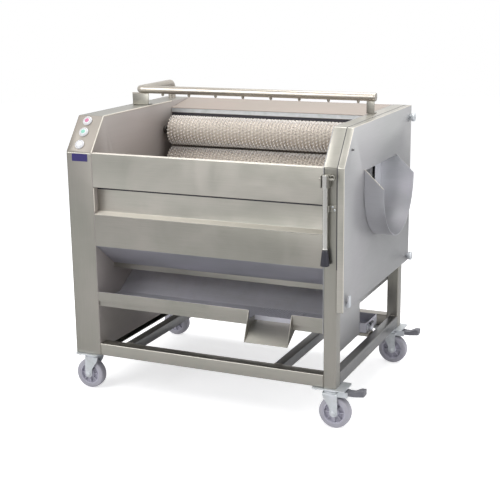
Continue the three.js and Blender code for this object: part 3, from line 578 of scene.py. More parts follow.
def make_piece(name, part, finish_names, nodes=(), bevel=0.0, body=BODY, smooth_angle=35):
    """Puts a surface's whole arrays into a mesh, in metres, and makes it a finished piece on its body."""
    points, faces = part
    mesh = bpy.data.meshes.new(name)
    mesh.vertices.add(len(points))
    mesh.vertices.foreach_set("co", (points * MM + ORIGIN).astype(np.float32).ravel())
    corners = np.concatenate([indices.ravel() for indices, _ in faces]).astype(np.int32)
    counts = np.concatenate([np.full(len(indices), indices.shape[1]) for indices, _ in faces])
    kinds = np.concatenate([np.full(len(indices), kind) for indices, kind in faces])
    mesh.loops.add(len(corners))
    mesh.loops.foreach_set("vertex_index", corners)
    mesh.polygons.add(len(counts))
    mesh.polygons.foreach_set("loop_start", np.concatenate([[0], np.cumsum(counts)[:-1]]).astype(np.int32))
    mesh.polygons.foreach_set("material_index", kinds.astype(np.int32))
    mesh.update(calc_edges=True)
    obj = smooth_object(name, mesh, tidy_mesh(mesh))
    if bevel:
        softened(obj, bevel, "ANGLE").angle_limit = math.radians(smooth_angle)
    else:
        mesh.set_sharp_from_angle(angle=math.radians(smooth_angle))
    return placed(obj, finish_names, body, nodes)


def dressed(node, finish, body=BODY, radius=None, thin=0.45, facets=()):
    """A merged copy of a CAD node with rounded edges: wide faces meet in a fold radius, thin ones in less.

    A face's width is twice its area over its perimeter, and a fold lies between faces wider than two radii.
    Each facet is a direction and the finish of the faces that look within 30 degrees of it."""
    radius = sizes().fold_radius / MM if radius is None else radius
    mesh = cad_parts[node].data.copy()
    mesh.materials.clear()
    mesh.name = node + "_dressed"
    shape = tidy_mesh(mesh, 2e-6, flat=True)
    weights = shape.edges.layers.float.new("bevel_weight_edge")
    widths = {face: 2 * face.calc_area() / max(face.calc_perimeter(), 1e-9) / MM for face in shape.faces}
    for edge in shape.edges:
        if len(edge.link_faces) == 2 and edge.calc_face_angle(0) > FOLD_ANGLE:
            wide = edge.is_convex and min(widths[face] for face in edge.link_faces) > 2 * radius
            edge[weights] = 1.0 if wide else min(thin / radius, 1.0)
    for face in shape.faces:
        for index, (direction, _) in enumerate(facets):
            if face.normal.dot(Vector(direction).normalized()) > WITHIN_30_DEGREES:
                face.material_index = index + 1
    obj = smooth_object(node + "_dressed", mesh, shape)
    softened(obj, radius, "WEIGHT").use_clamp_overlap = False
    return placed(obj, [finish, *[other for _, other in facets]], body, [node])


# Stage, camera and light

class PEELER_OT_stage(bpy.types.Operator):
    """Camera, soft studio lamps, a white studio and a wide pale floor"""
    bl_idname = "peeler.stage"
    bl_label = "Stage"

    def execute(self, context):
        scene = context.scene
        scene.view_settings.view_transform = "Standard"
        lens = bpy.data.cameras.new("Camera")
        lens.lens, lens.sensor_width, lens.clip_end = 78.3, 36, 50
        camera = bpy.data.objects.new("Camera", lens)
        camera.location = (1.439249, -3.205780, 1.327781)
        heading, dip, roll = 0.4219, 0.246, -0.0125
        turn = Matrix.Rotation(heading, 4, "Z") @ Matrix.Rotation(math.pi / 2 - dip, 4, "X")
        camera.rotation_euler = (turn @ Matrix.Rotation(roll, 4, "Z")).to_euler()
        scene.collection.objects.link(camera)
        scene.camera = camera
        self.floor(scene)
        self.world(scene)
        self.lamps(scene)
        return {"FINISHED"}

    def floor(self, scene):
        """A round floor as wide rings: x = r cos t, y = r sin t, just under zero, for r from the middle outwards."""
        radius, angle = np.meshgrid([0.01, 1.0, 3.0, 9.0], np.arange(48) * 2 * np.pi / 48, indexing="ij")
        points = np.stack([radius * np.cos(angle), radius * np.sin(angle), 0 * angle - 0.0005], -1).reshape(-1, 3)
        faces = [*grid_faces(4, 48, columns_closed=True).tolist(), list(range(48))]
        mesh = bpy.data.meshes.new("Floor")
        mesh.from_pydata(points.tolist(), [], faces)
        shape = tidy_mesh(mesh)
        shape.to_mesh(mesh)
        shape.free()
        obj = bpy.data.objects.new("Floor", mesh)
        mesh.materials.append(self.floor_material())
        scene.collection.objects.link(obj)

    def floor_material(self):
        """Pale matt floor, lifted to white where the eye sees it."""
        tree, shader, coords = material("Pale floor")
        tone = blended(tree, noise(tree, coords, 1.5, 2.0), (0.79, 0.79, 0.79), (0.81, 0.81, 0.81))
        fill(tree, shader, {"Base Color": tone, "Roughness": 0.9, "Specular IOR Level": 0.1})
        glow = add_node(tree, "Emission", {"Strength": 0.62})
        both = add_node(tree, "AddShader", {0: shader.outputs[0], 1: glow[0]})
        seen = add_node(tree, "LightPath")["Is Camera Ray"]
        mix = add_node(tree, "MixShader", {0: seen, 1: shader.outputs[0], 2: both[0]})
        fill(tree, tree.nodes["Material Output"], {"Surface": mix[0]})
        return bpy.data.materials["Pale floor"]

    def world(self, scene):
        """White for the eye and its reflections, and a soft dome from below to above for the light."""
        world = bpy.data.worlds.new("Studio")
        scene.world = world
        world.use_nodes = True
        tree = world.node_tree
        height = add_node(tree, "SeparateXYZ", {0: add_node(tree, "TexCoord")["Generated"]})["Z"]
        sky = blended(tree, ranged(tree, height, 0.0, 1.0, -0.4, 0.9), (0.5, 0.5, 0.52), (0.95, 0.96, 1.0))
        dome = fill(tree, tree.nodes["Background"], {"Color": sky, "Strength": 0.55})
        white = add_node(tree, "Background", {"Color": (1, 1, 1, 1), "Strength": 1.0})
        mix = add_node(tree, "MixShader", {0: seen_rays(tree), 1: dome[0], 2: white[0]})
        fill(tree, tree.nodes["World Output"], {"Surface": mix[0]})

    def lamps(self, scene):
        """Broad area lamps: one over the front left, one over the right side, one from above and behind."""
        for name, place, size, power in (
                ("Front lamp", (-1.6, -2.6, 2.4), 2.2, 60.0),
                ("Side lamp", (3.0, -0.6, 1.9), 1.8, 34.0),
                ("Top lamp", (0.2, 0.6, 3.2), 2.4, 55.0)):
            lamp = bpy.data.lights.new(name, "AREA")
            lamp.shape = "DISK"
            lamp.size = size
            lamp.energy = power
            obj = bpy.data.objects.new(name, lamp)
            obj.location = place
            obj.rotation_euler = (Vector((0, 0, 0.5)) - Vector(place)).to_track_quat("-Z", "Y").to_euler()
            scene.collection.objects.link(obj)


# The pieces, by the operators that make them

COVER_FACE = 928.3
SLOPE_FOOT, SLOPE_RISE, SLOPE_RUN = 800.0, 105.0, 82.0
SLOPE_LENGTH = math.hypot(SLOPE_RISE, SLOPE_RUN)


class PEELER_OT_drive_box(bpy.types.Operator):
    """Drive box: its sheet housing with rounded folds, the inner wall plate, the motor and the chain"""
    bl_idname = "peeler.drive_box"
    bl_label = "Drive box"

    def execute(self, context):
        for node, finish, slot, radius in (
                ("drive_housing", "Box sheet", BRUSHED, 1.6),
                ("drive_side_sheet", "Box sheet", BRUSHED, 1.6),
                ("housing_inner_plate", "Plate sheet", "polished_steel", 0.6),
                ("gear_motor", "Gearbox enamel", "gearbox_paint", 2.5),
                ("drive_chain", "Chain steel", "chain_steel", 0.6)):
            dressed(node, finish, radius=radius)
        make_piece("blank_plate", block(19, 76, 771, 795, -0.25, 0.1, "y", 2), ["Violet plate"], bevel=0.1)
        return {"FINISHED"}


class PEELER_OT_controls(bpy.types.Operator):
    """Control face: the sloped plate, a stepped collar round each button, and the domed buttons"""
    bl_idname = "peeler.controls"
    bl_label = "Controls"

    def execute(self, context):
        dressed("control_panel", "Panel sheet", radius=0.8)
        up = np.array([0, SLOPE_RUN, SLOPE_RISE]) / SLOPE_LENGTH
        out = np.array([0, -SLOPE_RISE, SLOPE_RUN]) / SLOPE_LENGTH
        axes = np.stack([[1, 0, 0], up, out], 1)
        collar = turned([(11.8, 2), (15.8, 2), (15.8, 3.4), (15.2, 5.0), (14.0, 6.2), (12.8, 6.6), (12.0, 6.2),
                         (11.75, 4.0)], 40, closed=True)
        t = np.linspace(0, np.pi / 2 * 0.96, 8)
        dome = np.stack([11.2 * np.cos(t), 5.6 + 2.4 * np.sin(t)], 1)
        cap = together(turned([(11.2, -21), *dome], 40),
                       turned([(7.2, 6.6), (7.2, 7.6), (6.4, 8.1), (0.6, 8.3)], 32, kind=1))
        for node, along, tone in (("stop_button", 112, "Red"), ("start_button", 71, "Green"),
                                  ("reset_button", 26, "White")):
            place = np.array([41, 0, SLOPE_FOOT]) + up * along
            make_piece(node + "_cap", moved(cap, place, axes), ["White button", tone + " button"],
                       (node,), body=node)
            make_piece(node + "_collar", moved(collar, place + out * 0.15, axes), ["Button collar"])
        return {"FINISHED"}


class PEELER_OT_sheets(bpy.types.Operator):
    """Front, back and end sheets of the trough with their folds"""
    bl_idname = "peeler.sheets"
    bl_label = "Sheets"

    def execute(self, context):
        for node, finish, slot, facets in (
                # Upward faces of the apron take the painted edge highlight
                ("front_apron", "Apron sheet", BRUSHED, [((0, -0.3, 0.95), "Painted edge highlight")]),
                # Faces of the lower panel that look down and forward take the painted shade sheet
                ("lower_front_panel", "Body sheet", BRUSHED, [((0, -0.6, -0.8), "Shade sheet")]),
                ("inner_back_panel", "Wall sheet", "polished_steel", []),
                ("rear_housing", "Wall sheet", BRUSHED, [((0, 1, 0), "Body sheet")]),
                ("right_top_frame", "Apron sheet", BRUSHED, []),
                # The side cover's outward faces take the painted sheen and painted shade
                ("side_cover", "Apron sheet", BRUSHED, [((1, 0, 0), "Cover face painted sheen")])):
            dressed(node, finish, radius=2.8, facets=facets)
        dressed("discharge_gate", "Chute sheet", "discharge_gate", radius=1.0)
        dressed("right_end_plate", "Cover sheet", thin=0.12)
        self.edges()
        self.seals()
        return {"FINISHED"}

    def edges(self):
        """Bright rounded edges as painted highlights: on the inner plate's top and slope, beside the recess, and round
        the side cover.
        """
        slope = rounded([(91, -0.2, 799.8), (91, 82, 905), (91, 541, 905)], 5, closed=False)
        beside = [(93.4, 0.9, 613), (93.4, 0.9, 688)]
        x = 926.7
        cover = rounded([(x, 0.2, 374), (x, 0.2, 800), (x, 82.2, 904.8), (x, 678, 904.8)], 4, closed=False)
        part = together(swept(slope, 2.0, (1, 0, 0), 10), swept(beside, 1.2, (1, 0, 0), 10),
                        swept(cover, 1.1, (1, 0, 0), 8), block(93, 863.5, 537.6, 538.4, 867, 880.2, kind=1))
        make_piece("painted_edge_highlights", part, ["Painted edge highlight", "Zinc"])

    def seals(self):
        """Dark strips of painted shade: under the wall's fold band, under the apron's foot, and between end frame and
        cover.
        """
        outer = [(-0.3, 500), (-0.3, 800), (81.8, 905.3), (679, 905.3)]
        inner = [(679, 904.5), (82.3, 904.5), (0.5, 799.7), (0.5, 500)]
        part = together(block(93, 863.5, 540.3, 541.2, 852, 865.8), block(93, 863.5, 24.4, 25.2, 681, 688),
                        prism(outer + inner, 905.0, 907.2))
        make_piece("seals", part, ["Painted gap shade"])


class PEELER_OT_frame_tubes(bpy.types.Operator):
    """Square tube frame: posts, rails and legs with rounded corners, and weld beads where they meet"""
    bl_idname = "peeler.frame_tubes"
    bl_label = "Frame tubes"

    def execute(self, context):
        post, front, rear, rail, cross = (866.3, 905.7), (0, 40), (640, 680), (132, 172), (140, 172)
        for name, node, axis, start, end, across, up, finish in (
                ("front_post_tube", "front_right_post", "z", 132, 800, post, front, "Frame tube upright"),
                ("rear_leg_tube", "rear_right_leg", "z", 132, 902.7, post, rear, "Frame tube upright"),
                ("front_rail_tube", "base_front_rail", "x", 92.3, 866, front, rail, "Frame tube"),
                ("rear_rail_tube", "base_rear_rail", "x", 92.3, 866, rear, rail, "Inner sheet"),
                ("left_cross_tube", "cross_rail_left", "y", 40.3, 639.7, (165, 195), cross, "Frame tube across"),
                ("right_cross_tube", "cross_rail_right", "y", 40.3, 639.7, (690, 720), cross, "Frame tube across"),
                ("side_rail_tube", "side_rail_right", "y", 40.3, 639.7, (875.7, 905.7), rail, "Frame tube across")):
            cut_end = self.under_the_slope if name == "front_post_tube" else None
            make_piece(name, square_tube(axis, start, end, *across, *up, cut_end), [finish], (node,), 0.4)
        make_piece("weld_beads", self.welds(), ["Weld"])
        return {"FINISHED"}

    def under_the_slope(self, section):
        """The height that stays 2.3 mm under the sloped top frame, for each (x, y) of a section."""
        return SLOPE_FOOT + (SLOPE_RISE * section[:, 1] - 2.3 * SLOPE_LENGTH) / SLOPE_RUN

    def welds(self):
        """Rippled beads: upright ones beside the posts, level ones where the cross rails meet the long rails."""
        top, lines = 172.2, []
        for y in (40.0, 640.0):
            for x0 in (165, 690):
                lines.append(((x0 + 2, y, top), (x0 + 28, y, top), (0, 0, 1)))
                lines += [((x, y, 142), (x, y, 171), (1, 0, 0)) for x in (x0 - 0.2, x0 + 30.2)]
            lines.append(((877, y, top), (904, y, top), (0, 0, 1)))
        for y0, face in ((0, -0.2), (640, 680.2)):
            lines += [((866.1, face, 134), (866.1, face, 170), (0, 1, 0)),
                      ((866.1, y0 + 3, top), (866.1, y0 + 37, top), (0, 0, 1)),
                      ((92.2, face, 134), (92.2, face, 170), (0, 1, 0))]
        return together(*[weld_bead(*line, sizes().weld_width / MM) for line in lines])


CORE_RADIUS = 39.0
ARC_Y, ARC_Z, ARC_RADIUS = 290, 775, 198.5
FIRST_ANGLE, ANGLE_STEP = 10.7, -31.6


class PEELER_OT_rollers(bpy.types.Operator):
    """Brush rollers: a core on a shaft with a sprocket, and rings of bristle tufts"""
    bl_idname = "peeler.rollers"
    bl_label = "Brush rollers"

    def execute(self, context):
        for index in range(6):
            node = f"brush_roller_{index + 1}"
            angle = math.radians(FIRST_ANGLE + ANGLE_STEP * index)
            axle = np.array([0, ARC_Y + ARC_RADIUS * math.cos(angle), ARC_Z + ARC_RADIUS * math.sin(angle)])
            obj = make_piece(node + "_brush", moved(together(self.core(), self.tufts(index)), axle),
                             ["Brush core", "Chain steel", "Bristle sides", "Bristle ends"], (node,),
                             body=node, smooth_angle=50)
            self.mark_heights(obj, axle)
        return {"FINISHED"}

    def core(self):
        """Core and shaft turned about X, with a collar and the sprocket's disc by the drive box."""
        brush = turned([(11, 120), (36, 120), (38.4, 121.5), (39.6, 124), (39.6, 857), (38.4, 859.5), (36, 861),
                        (11, 861)], 48)
        shaft = turned([(9, 46.3), (9.9, 47.2), (9.9, 869), (9, 869.9)], 24, kind=1)
        collar = turned([(9, 92.6), (13.5, 92.6), (14, 93.2), (14, 99), (13.4, 100), (9, 100)], 24, kind=1)
        sprocket = turned([(10, 48), (16, 48), (16, 50), (31.8, 50), (32.6, 51.5), (32.6, 54.5), (31.8, 56), (16, 56),
                           (16, 58), (10, 58)], 40, kind=1)
        return moved(together(brush, shaft, collar, sprocket), axes=X_AXES)

    def tufts(self, index):
        """Rings of flared tufts: tuft k of a ring of n stands out of the core at the angle 2 pi (k + s) / n.

        s is a share of a step that differs by ring; each tuft leans a little its own way along X."""
        tall = sizes().tuft_height / MM
        around = int(round(2 * math.pi * CORE_RADIUS / (sizes().tuft_pitch / MM)))
        rings = int((856.5 - 125.5) / (sizes().ring_pitch / MM)) + 1
        chance = np.random.default_rng(11 + index)
        share = np.where(np.arange(rings) % 2, 0.5, 0.0) + 0.37 * index
        turn = (np.arange(around)[None, :] + share[:, None]) * 2 * np.pi / around
        turn = (turn + chance.normal(0, 0.01, turn.shape)).ravel()
        lean = chance.normal(0, 0.02, turn.size)
        flat = np.stack([0 * turn, np.cos(turn), np.sin(turn)], 1)
        out = unit(flat + lean[:, None] * [1, 0, 0])
        side = unit(np.cross([1.0, 0, 0], out))
        places = np.repeat(np.linspace(128, 856, rings), around)[:, None] * [1, 0, 0] + flat * 38.8
        stem = turned([(1.7, 0), (2.0, 0.5 * tall), (2.5, 0.94 * tall)], 7, kind=2)
        cut_end = turned([(2.5, 0.94 * tall), (1.9, tall)], 7, kind=3)
        return repeated(together(stem, cut_end), places, np.stack([np.cross(side, out), side, out], 2))

    def mark_heights(self, obj, axle):
        """How far each point stands out of the core: 0 on the core, 1 at the tuft's tip."""
        mesh = obj.data
        places = np.empty(len(mesh.vertices) * 3, np.float32)
        mesh.vertices.foreach_get("co", places)
        from_axle = places.reshape(-1, 3) - (axle * MM + ORIGIN)
        radius = np.hypot(from_axle[:, 1], from_axle[:, 2]) / MM
        height = mesh.attributes.new("tuft_height", "FLOAT", "POINT")
        height.data.foreach_set("value", np.clip((radius - CORE_RADIUS) / 12, 0, 1).astype(np.float32))


class PEELER_OT_spray(bpy.types.Operator):
    """Spray pipe with its bends, sleeves, nozzles and two bolted brackets"""
    bl_idname = "peeler.spray"
    bl_label = "Spray pipe"

    def execute(self, context):
        pipe, left, front, level = 13.2, 40, 405, 958
        along = rounded([(889, front, level), (left, front, level), (left, 520, level)], 16, 10, closed=False)
        down = rounded([(left, 519, level), (left, 642, level), (left, 642, 905.5)], 16, 10, closed=False)
        sleeve = turned([(12.6, -5), (13.2, -5), (13.45, -4), (13.45, 4), (13.2, 5), (12.6, 5)], 28, closed=True)
        nozzle = turned([(4.9, 0), (4.9, -5), (4.4, -6), (3.6, -6), (3.6, -8.5), (1.2, -9)], 12)
        part = together(
            swept(along, pipe, (0, 0, 1), 28), swept(down, pipe, (1, 0, 0), 28),
            repeated(sleeve, [(left, 449, level), (left, 598, level)], Y_AXES),
            moved(sleeve, (882, front, level), X_AXES),
            block(14, 77, 402.2, 404.8, 940, 947), block(859.5, 885, 402.2, 404.8, 940, 947),
            repeated(nozzle, [(131 + 100 * k, front, level - 12.5) for k in range(8)]))
        make_piece("spray_pipe_tube", part, ["Pipe steel"], ("spray_pipe",))
        for node, xs in (("spray_bracket_left", (26, 66)), ("spray_bracket_right", (872,))):
            dressed(node, "Body sheet", radius=0.8)
            heads = repeated(bolt(4.2, 3.4), [(x, 416, 908.2) for x in xs])
            make_piece(node + "_bolts", heads, ["Zinc"])
        return {"FINISHED"}


class PEELER_OT_tray(bpy.types.Operator):
    """Catch tray, the perforated strainer at its outlet, and the waste spout"""
    bl_idname = "peeler.tray"
    bl_label = "Tray and spout"

    def execute(self, context):
        dressed("catch_tray", "Tray sheet", radius=2.8, facets=[((0, -1, 0), "Body sheet")])
        dressed("waste_spout", "Body sheet", radius=1.6)
        part = together(self.strainer(139, 86, 1.2), block(625.2, 763.8, 44.4, 46.2, 301, 319))
        make_piece("gutter_strainer", part, ["Tray sheet"], smooth_angle=30)
        return {"FINISHED"}

    def strainer(self, length, width, thickness):
        """Perforated sheet over the gutter: a grid of square cells, each with an eight-sided hole."""
        pitch = sizes().hole_pitch / MM
        columns, rows = int(length / pitch), int(width / pitch)
        size = np.array([length / columns, width / rows])
        step = np.arange(8)
        circle = np.stack([np.cos(step * np.pi / 4), np.sin(step * np.pi / 4)], 1)
        square = circle / np.abs(circle).max(1)[:, None] * size / 2
        hole = 0.31 * pitch * circle
        points = np.concatenate([np.column_stack([ring, np.full(8, height)]) for ring, height in (
            (square, 0), (square, thickness), (hole, thickness), (hole, 0))])
        order = np.stack([step, (step + 1) % 8], 1)
        band = lambda low, high: np.column_stack([order + low * 8, order[:, ::-1] + high * 8])
        i, j = np.meshgrid(np.arange(columns), np.arange(rows), indexing="ij")
        places = np.stack([(i + 0.5) * size[0], (j + 0.5) * size[1], 0 * i], -1)
        sheet = repeated(surface(points, band(1, 2), band(2, 3), band(3, 0)), places)
        corners = np.array(rectangle(0, length, 0, width) + [(0, 0)], float)
        edge = np.concatenate([np.linspace(a, b, 2 * n, endpoint=False)
                               for a, b, n in zip(corners, corners[1:], (columns, rows, columns, rows))])
        rim = np.concatenate([np.column_stack([edge, np.full(len(edge), z)]) for z in (0.0, thickness)])
        points, faces = together(sheet, surface(rim, grid_faces(2, len(edge), columns_closed=True)))
        points = points + [625, 47, 0]
        points[:, 2] += 319.2 - 4.0 / 135 * points[:, 1]
        return points, faces


CHUTE_Y, CHUTE_Z = 340, 702


class PEELER_OT_chute(bpy.types.Operator):
    """Discharge chute: a half round trough with a slanted, rolled rim in a painted highlight, and its lining through
    the wall
    """
    bl_idname = "peeler.chute"
    bl_label = "Discharge chute"

    def execute(self, context):
        slanted = lambda x: 768 - 58 * (x - COVER_FACE) / 61.7
        ease = lambda x: np.clip((x - 929) / 61, 0, 1)
        lined = lambda x: 155.4 + 3.6 * ease(x) ** 2 * (3 - 2 * ease(x))
        outside = self.trough(928.4, 989.8, lambda x: 161.8 + 0 * x, lambda x: 159.8 + 0 * x, slanted)
        make_piece("chute_trough", outside, ["Chute sheet"], ("discharge_chute",), 0.5)
        lining = self.trough(880, 989.2, lambda x: lined(x) + 1, lined, lambda x: np.minimum(762, slanted(x) - 0.6))
        flange = np.concatenate([[(437, 762), (496, 762)], self.arc(156, np.linspace(0, -0.897, 20))])
        make_piece("chute_lining", together(lining, prism(flange, 879.2, 880.2)), ["Chute lining painted light"])
        mouth = np.concatenate([[(179, 710)], self.arc(161, np.linspace(np.pi, 1.5 * np.pi, 30))])
        mouth = np.column_stack([np.full(len(mouth), 989.0), mouth])
        # Bright rods along the wall's slanted top and round the mouth: painted highlights on the rim
        rims = together(swept([(929, 179, 767.6), (988.6, 179, 711.2)], 1.1, (0, 1, 0), 8),
                        swept(mouth, 0.7, (1, 0, 0), 8))
        make_piece("chute_rim_highlights", rims, ["Painted edge highlight"])
        return {"FINISHED"}

    def arc(self, r, angle):
        return np.stack([CHUTE_Y + r * np.cos(angle), CHUTE_Z + r * np.sin(angle)], -1)

    def trough(self, start, end, outer_at, inner_at, top_at):
        """Section (y, z): down one wall, round the half circle of radius r and up the other, for each X.

        top_at gives the walls' top for each X, outer_at and inner_at the sheet's two radii."""
        x = np.linspace(start, end, 24)[:, None]
        wall = top_at(x) + (CHUTE_Z - top_at(x)) * np.linspace(0, 1, 6)[None, :-1]
        angle = np.linspace(np.pi, 2 * np.pi, 49)[None, :] + 0 * x

        def section(r):
            left, right = (np.stack([CHUTE_Y + side * r + 0 * wall, wall], -1) for side in (-1, 1))
            flat = np.concatenate([left, self.arc(r, angle), right[:, ::-1]], 1)
            return np.concatenate([np.broadcast_to(x[..., None], (*flat.shape[:2], 1)), flat], 2)

        return loft(np.concatenate([section(outer_at(x)), section(inner_at(x))[:, ::-1]], 1))


class PEELER_OT_lever(bpy.types.Operator):
    """Gate lever: its bracket and pin, the rod with its head and collar, the tapered grip and the keeper"""
    bl_idname = "peeler.lever"
    bl_label = "Gate lever"

    def execute(self, context):
        for node in ("lever_bracket", "lever_keeper"):
            dressed(node, "Frame tube upright", radius=1.0)
        middle = (876, -17, 0)
        head = block(-7.4, 7.4, -7.9, 7.9, 743, 780, radius=2.5)
        rod = turned([(7.0, 566), (7.9, 567), (7.9, 744), (7.0, 745)], 28)
        collar = turned([(8.4, 563), (9.4, 563.6), (9.4, 566.4), (8.4, 567), (4.6, 567), (4.6, 517)], 28)
        make_piece("lever_rod", moved(together(head, rod, collar), middle), ["Lever steel"],
                   ("gate_lever",), 0.8, "lever")
        t = np.linspace(0, 1, 9)
        side = np.stack([8.0 + 5.4 * t ** 0.8, 561.4 - 45.4 * t], 1)
        grip = turned([(5.2, 562), (7.4, 562), *side, (13.3, 515.2), (12.4, 514.2), (5.2, 514.2)], 32, closed=True)
        make_piece("lever_grip_moulding", moved(grip, middle), ["Black grip"], ("lever_grip",),
                   body="lever")
        screws = repeated(round_screw(3.4, 2.0), [(893, -2.2, 687), (899.5, -2.2, 678)], facing((0, -1, 0)))
        pin = moved(round_screw(3.9, 2.2), (901.7, -17, 769), facing((1, 0, 0)))
        make_piece("lever_screws", together(screws, pin), ["Zinc", "Painted slot shade"])
        return {"FINISHED"}


class PEELER_OT_cover_fasteners(bpy.types.Operator):
    """Knurled cover knobs, the cover's catch and its hanging pin"""
    bl_idname = "peeler.cover_fasteners"
    bl_label = "Cover fasteners"

    def execute(self, context):
        for node, z in (("cover_knob_upper", 866), ("cover_knob_lower", 388)):
            make_piece(node + "_turned", moved(self.knob(), (COVER_FACE, 665, z), X_AXES), ["Zinc"],
                       (node,), body=node, smooth_angle=50)
        hub = together(turned([(8.8, 0), (8.8, 4.6), (8.2, 5.2), (3, 5.2)], 32),
                       turned([(6.2, 5), (6.2, 8.2), (5.4, 8.9), (0.8, 9.0)], 24, flat_sides=6))
        catch = together(moved(hub, (COVER_FACE, 32, 388), X_AXES),
                         block(23.2, 40.8, 383, 417.8, 933.4, 937.2, "x", 5))
        make_piece("catch_plate", catch, ["Zinc"], ("cover_catch",), 0.5, "cover_catch")
        pin = turned([(4.0, 0), (4.0, 1.2), (3.4, 1.6), (2.4, 1.8), (2.4, 5.0), (3.2, 5.6), (3.2, 6.6), (0.8, 7.4)],
                     20)
        make_piece("cover_pin", moved(pin, (928.0, 62, 844), X_AXES), ["Frame tube across"])
        return {"FINISHED"}

    def knob(self):
        """A neck and a head whose rim is scalloped: its radius times 1 + 0.035 cos(24 t) between its chamfers."""
        neck = turned([(8.5, 0), (8.5, 1.2), (5.9, 1.6), (5.9, 6)], 24)
        points, faces = turned([(6.0, 5.2), (12.4, 5.2), (13.4, 6.4), (13.4, 14.2), (12.4, 15.4), (5.0, 15.9),
                                (0.8, 15.9)], 96)
        angle = np.arctan2(points[:, 1], points[:, 0])
        rim = np.hypot(points[:, 0], points[:, 1]) > 13
        points[rim, :2] *= (1 + 0.035 * np.cos(24 * angle[rim]))[:, None]
        return together(neck, (points, faces))


class PEELER_OT_pan(bpy.types.Operator):
    """Low pan with its rim, the bar under it, and the drain valve with its black handle"""
    bl_idname = "peeler.pan"
    bl_label = "Pan and valve"

    def execute(self, context):
        dressed("drain_pan", "Tray sheet", radius=1.6)
        dressed("pan_support", "Inner sheet", radius=1.8)
        collar = turned([(8.2, 0), (9.6, 0), (9.6, 3), (8.2, 3)], 24, flat_sides=6, closed=True)
        nuts = repeated(collar, [(869, 420, 195), (880.5, 420, 195)], X_AXES)
        make_piece("valve_nuts", nuts, ["Zinc"])
        stem = turned([(3.0, 203.4), (3.0, 206.4), (5.0, 206.6), (5.0, 212.4), (3.4, 212.9), (0.6, 212.9)], 20)
        t = np.linspace(0, 1, 5)
        edge = np.concatenate([np.stack([-4.9 + 1.6 * t, -4 + 30 * t], 1), np.stack([3.3 + 1.6 * t, 26 - 30 * t], 1)])
        blade = prism(rounded(edge + [0, -0.9], 1.5, 2), 206.3, 212.6, "z")
        make_piece("valve_lever", moved(together(stem, blade), (878, 420, 0)), ["Black grip"],
                   ("valve_handle",), 0.7, "valve_handle")
        return {"FINISHED"}


WHEEL_TRAIL, WHEEL_RADIUS = 12, 50


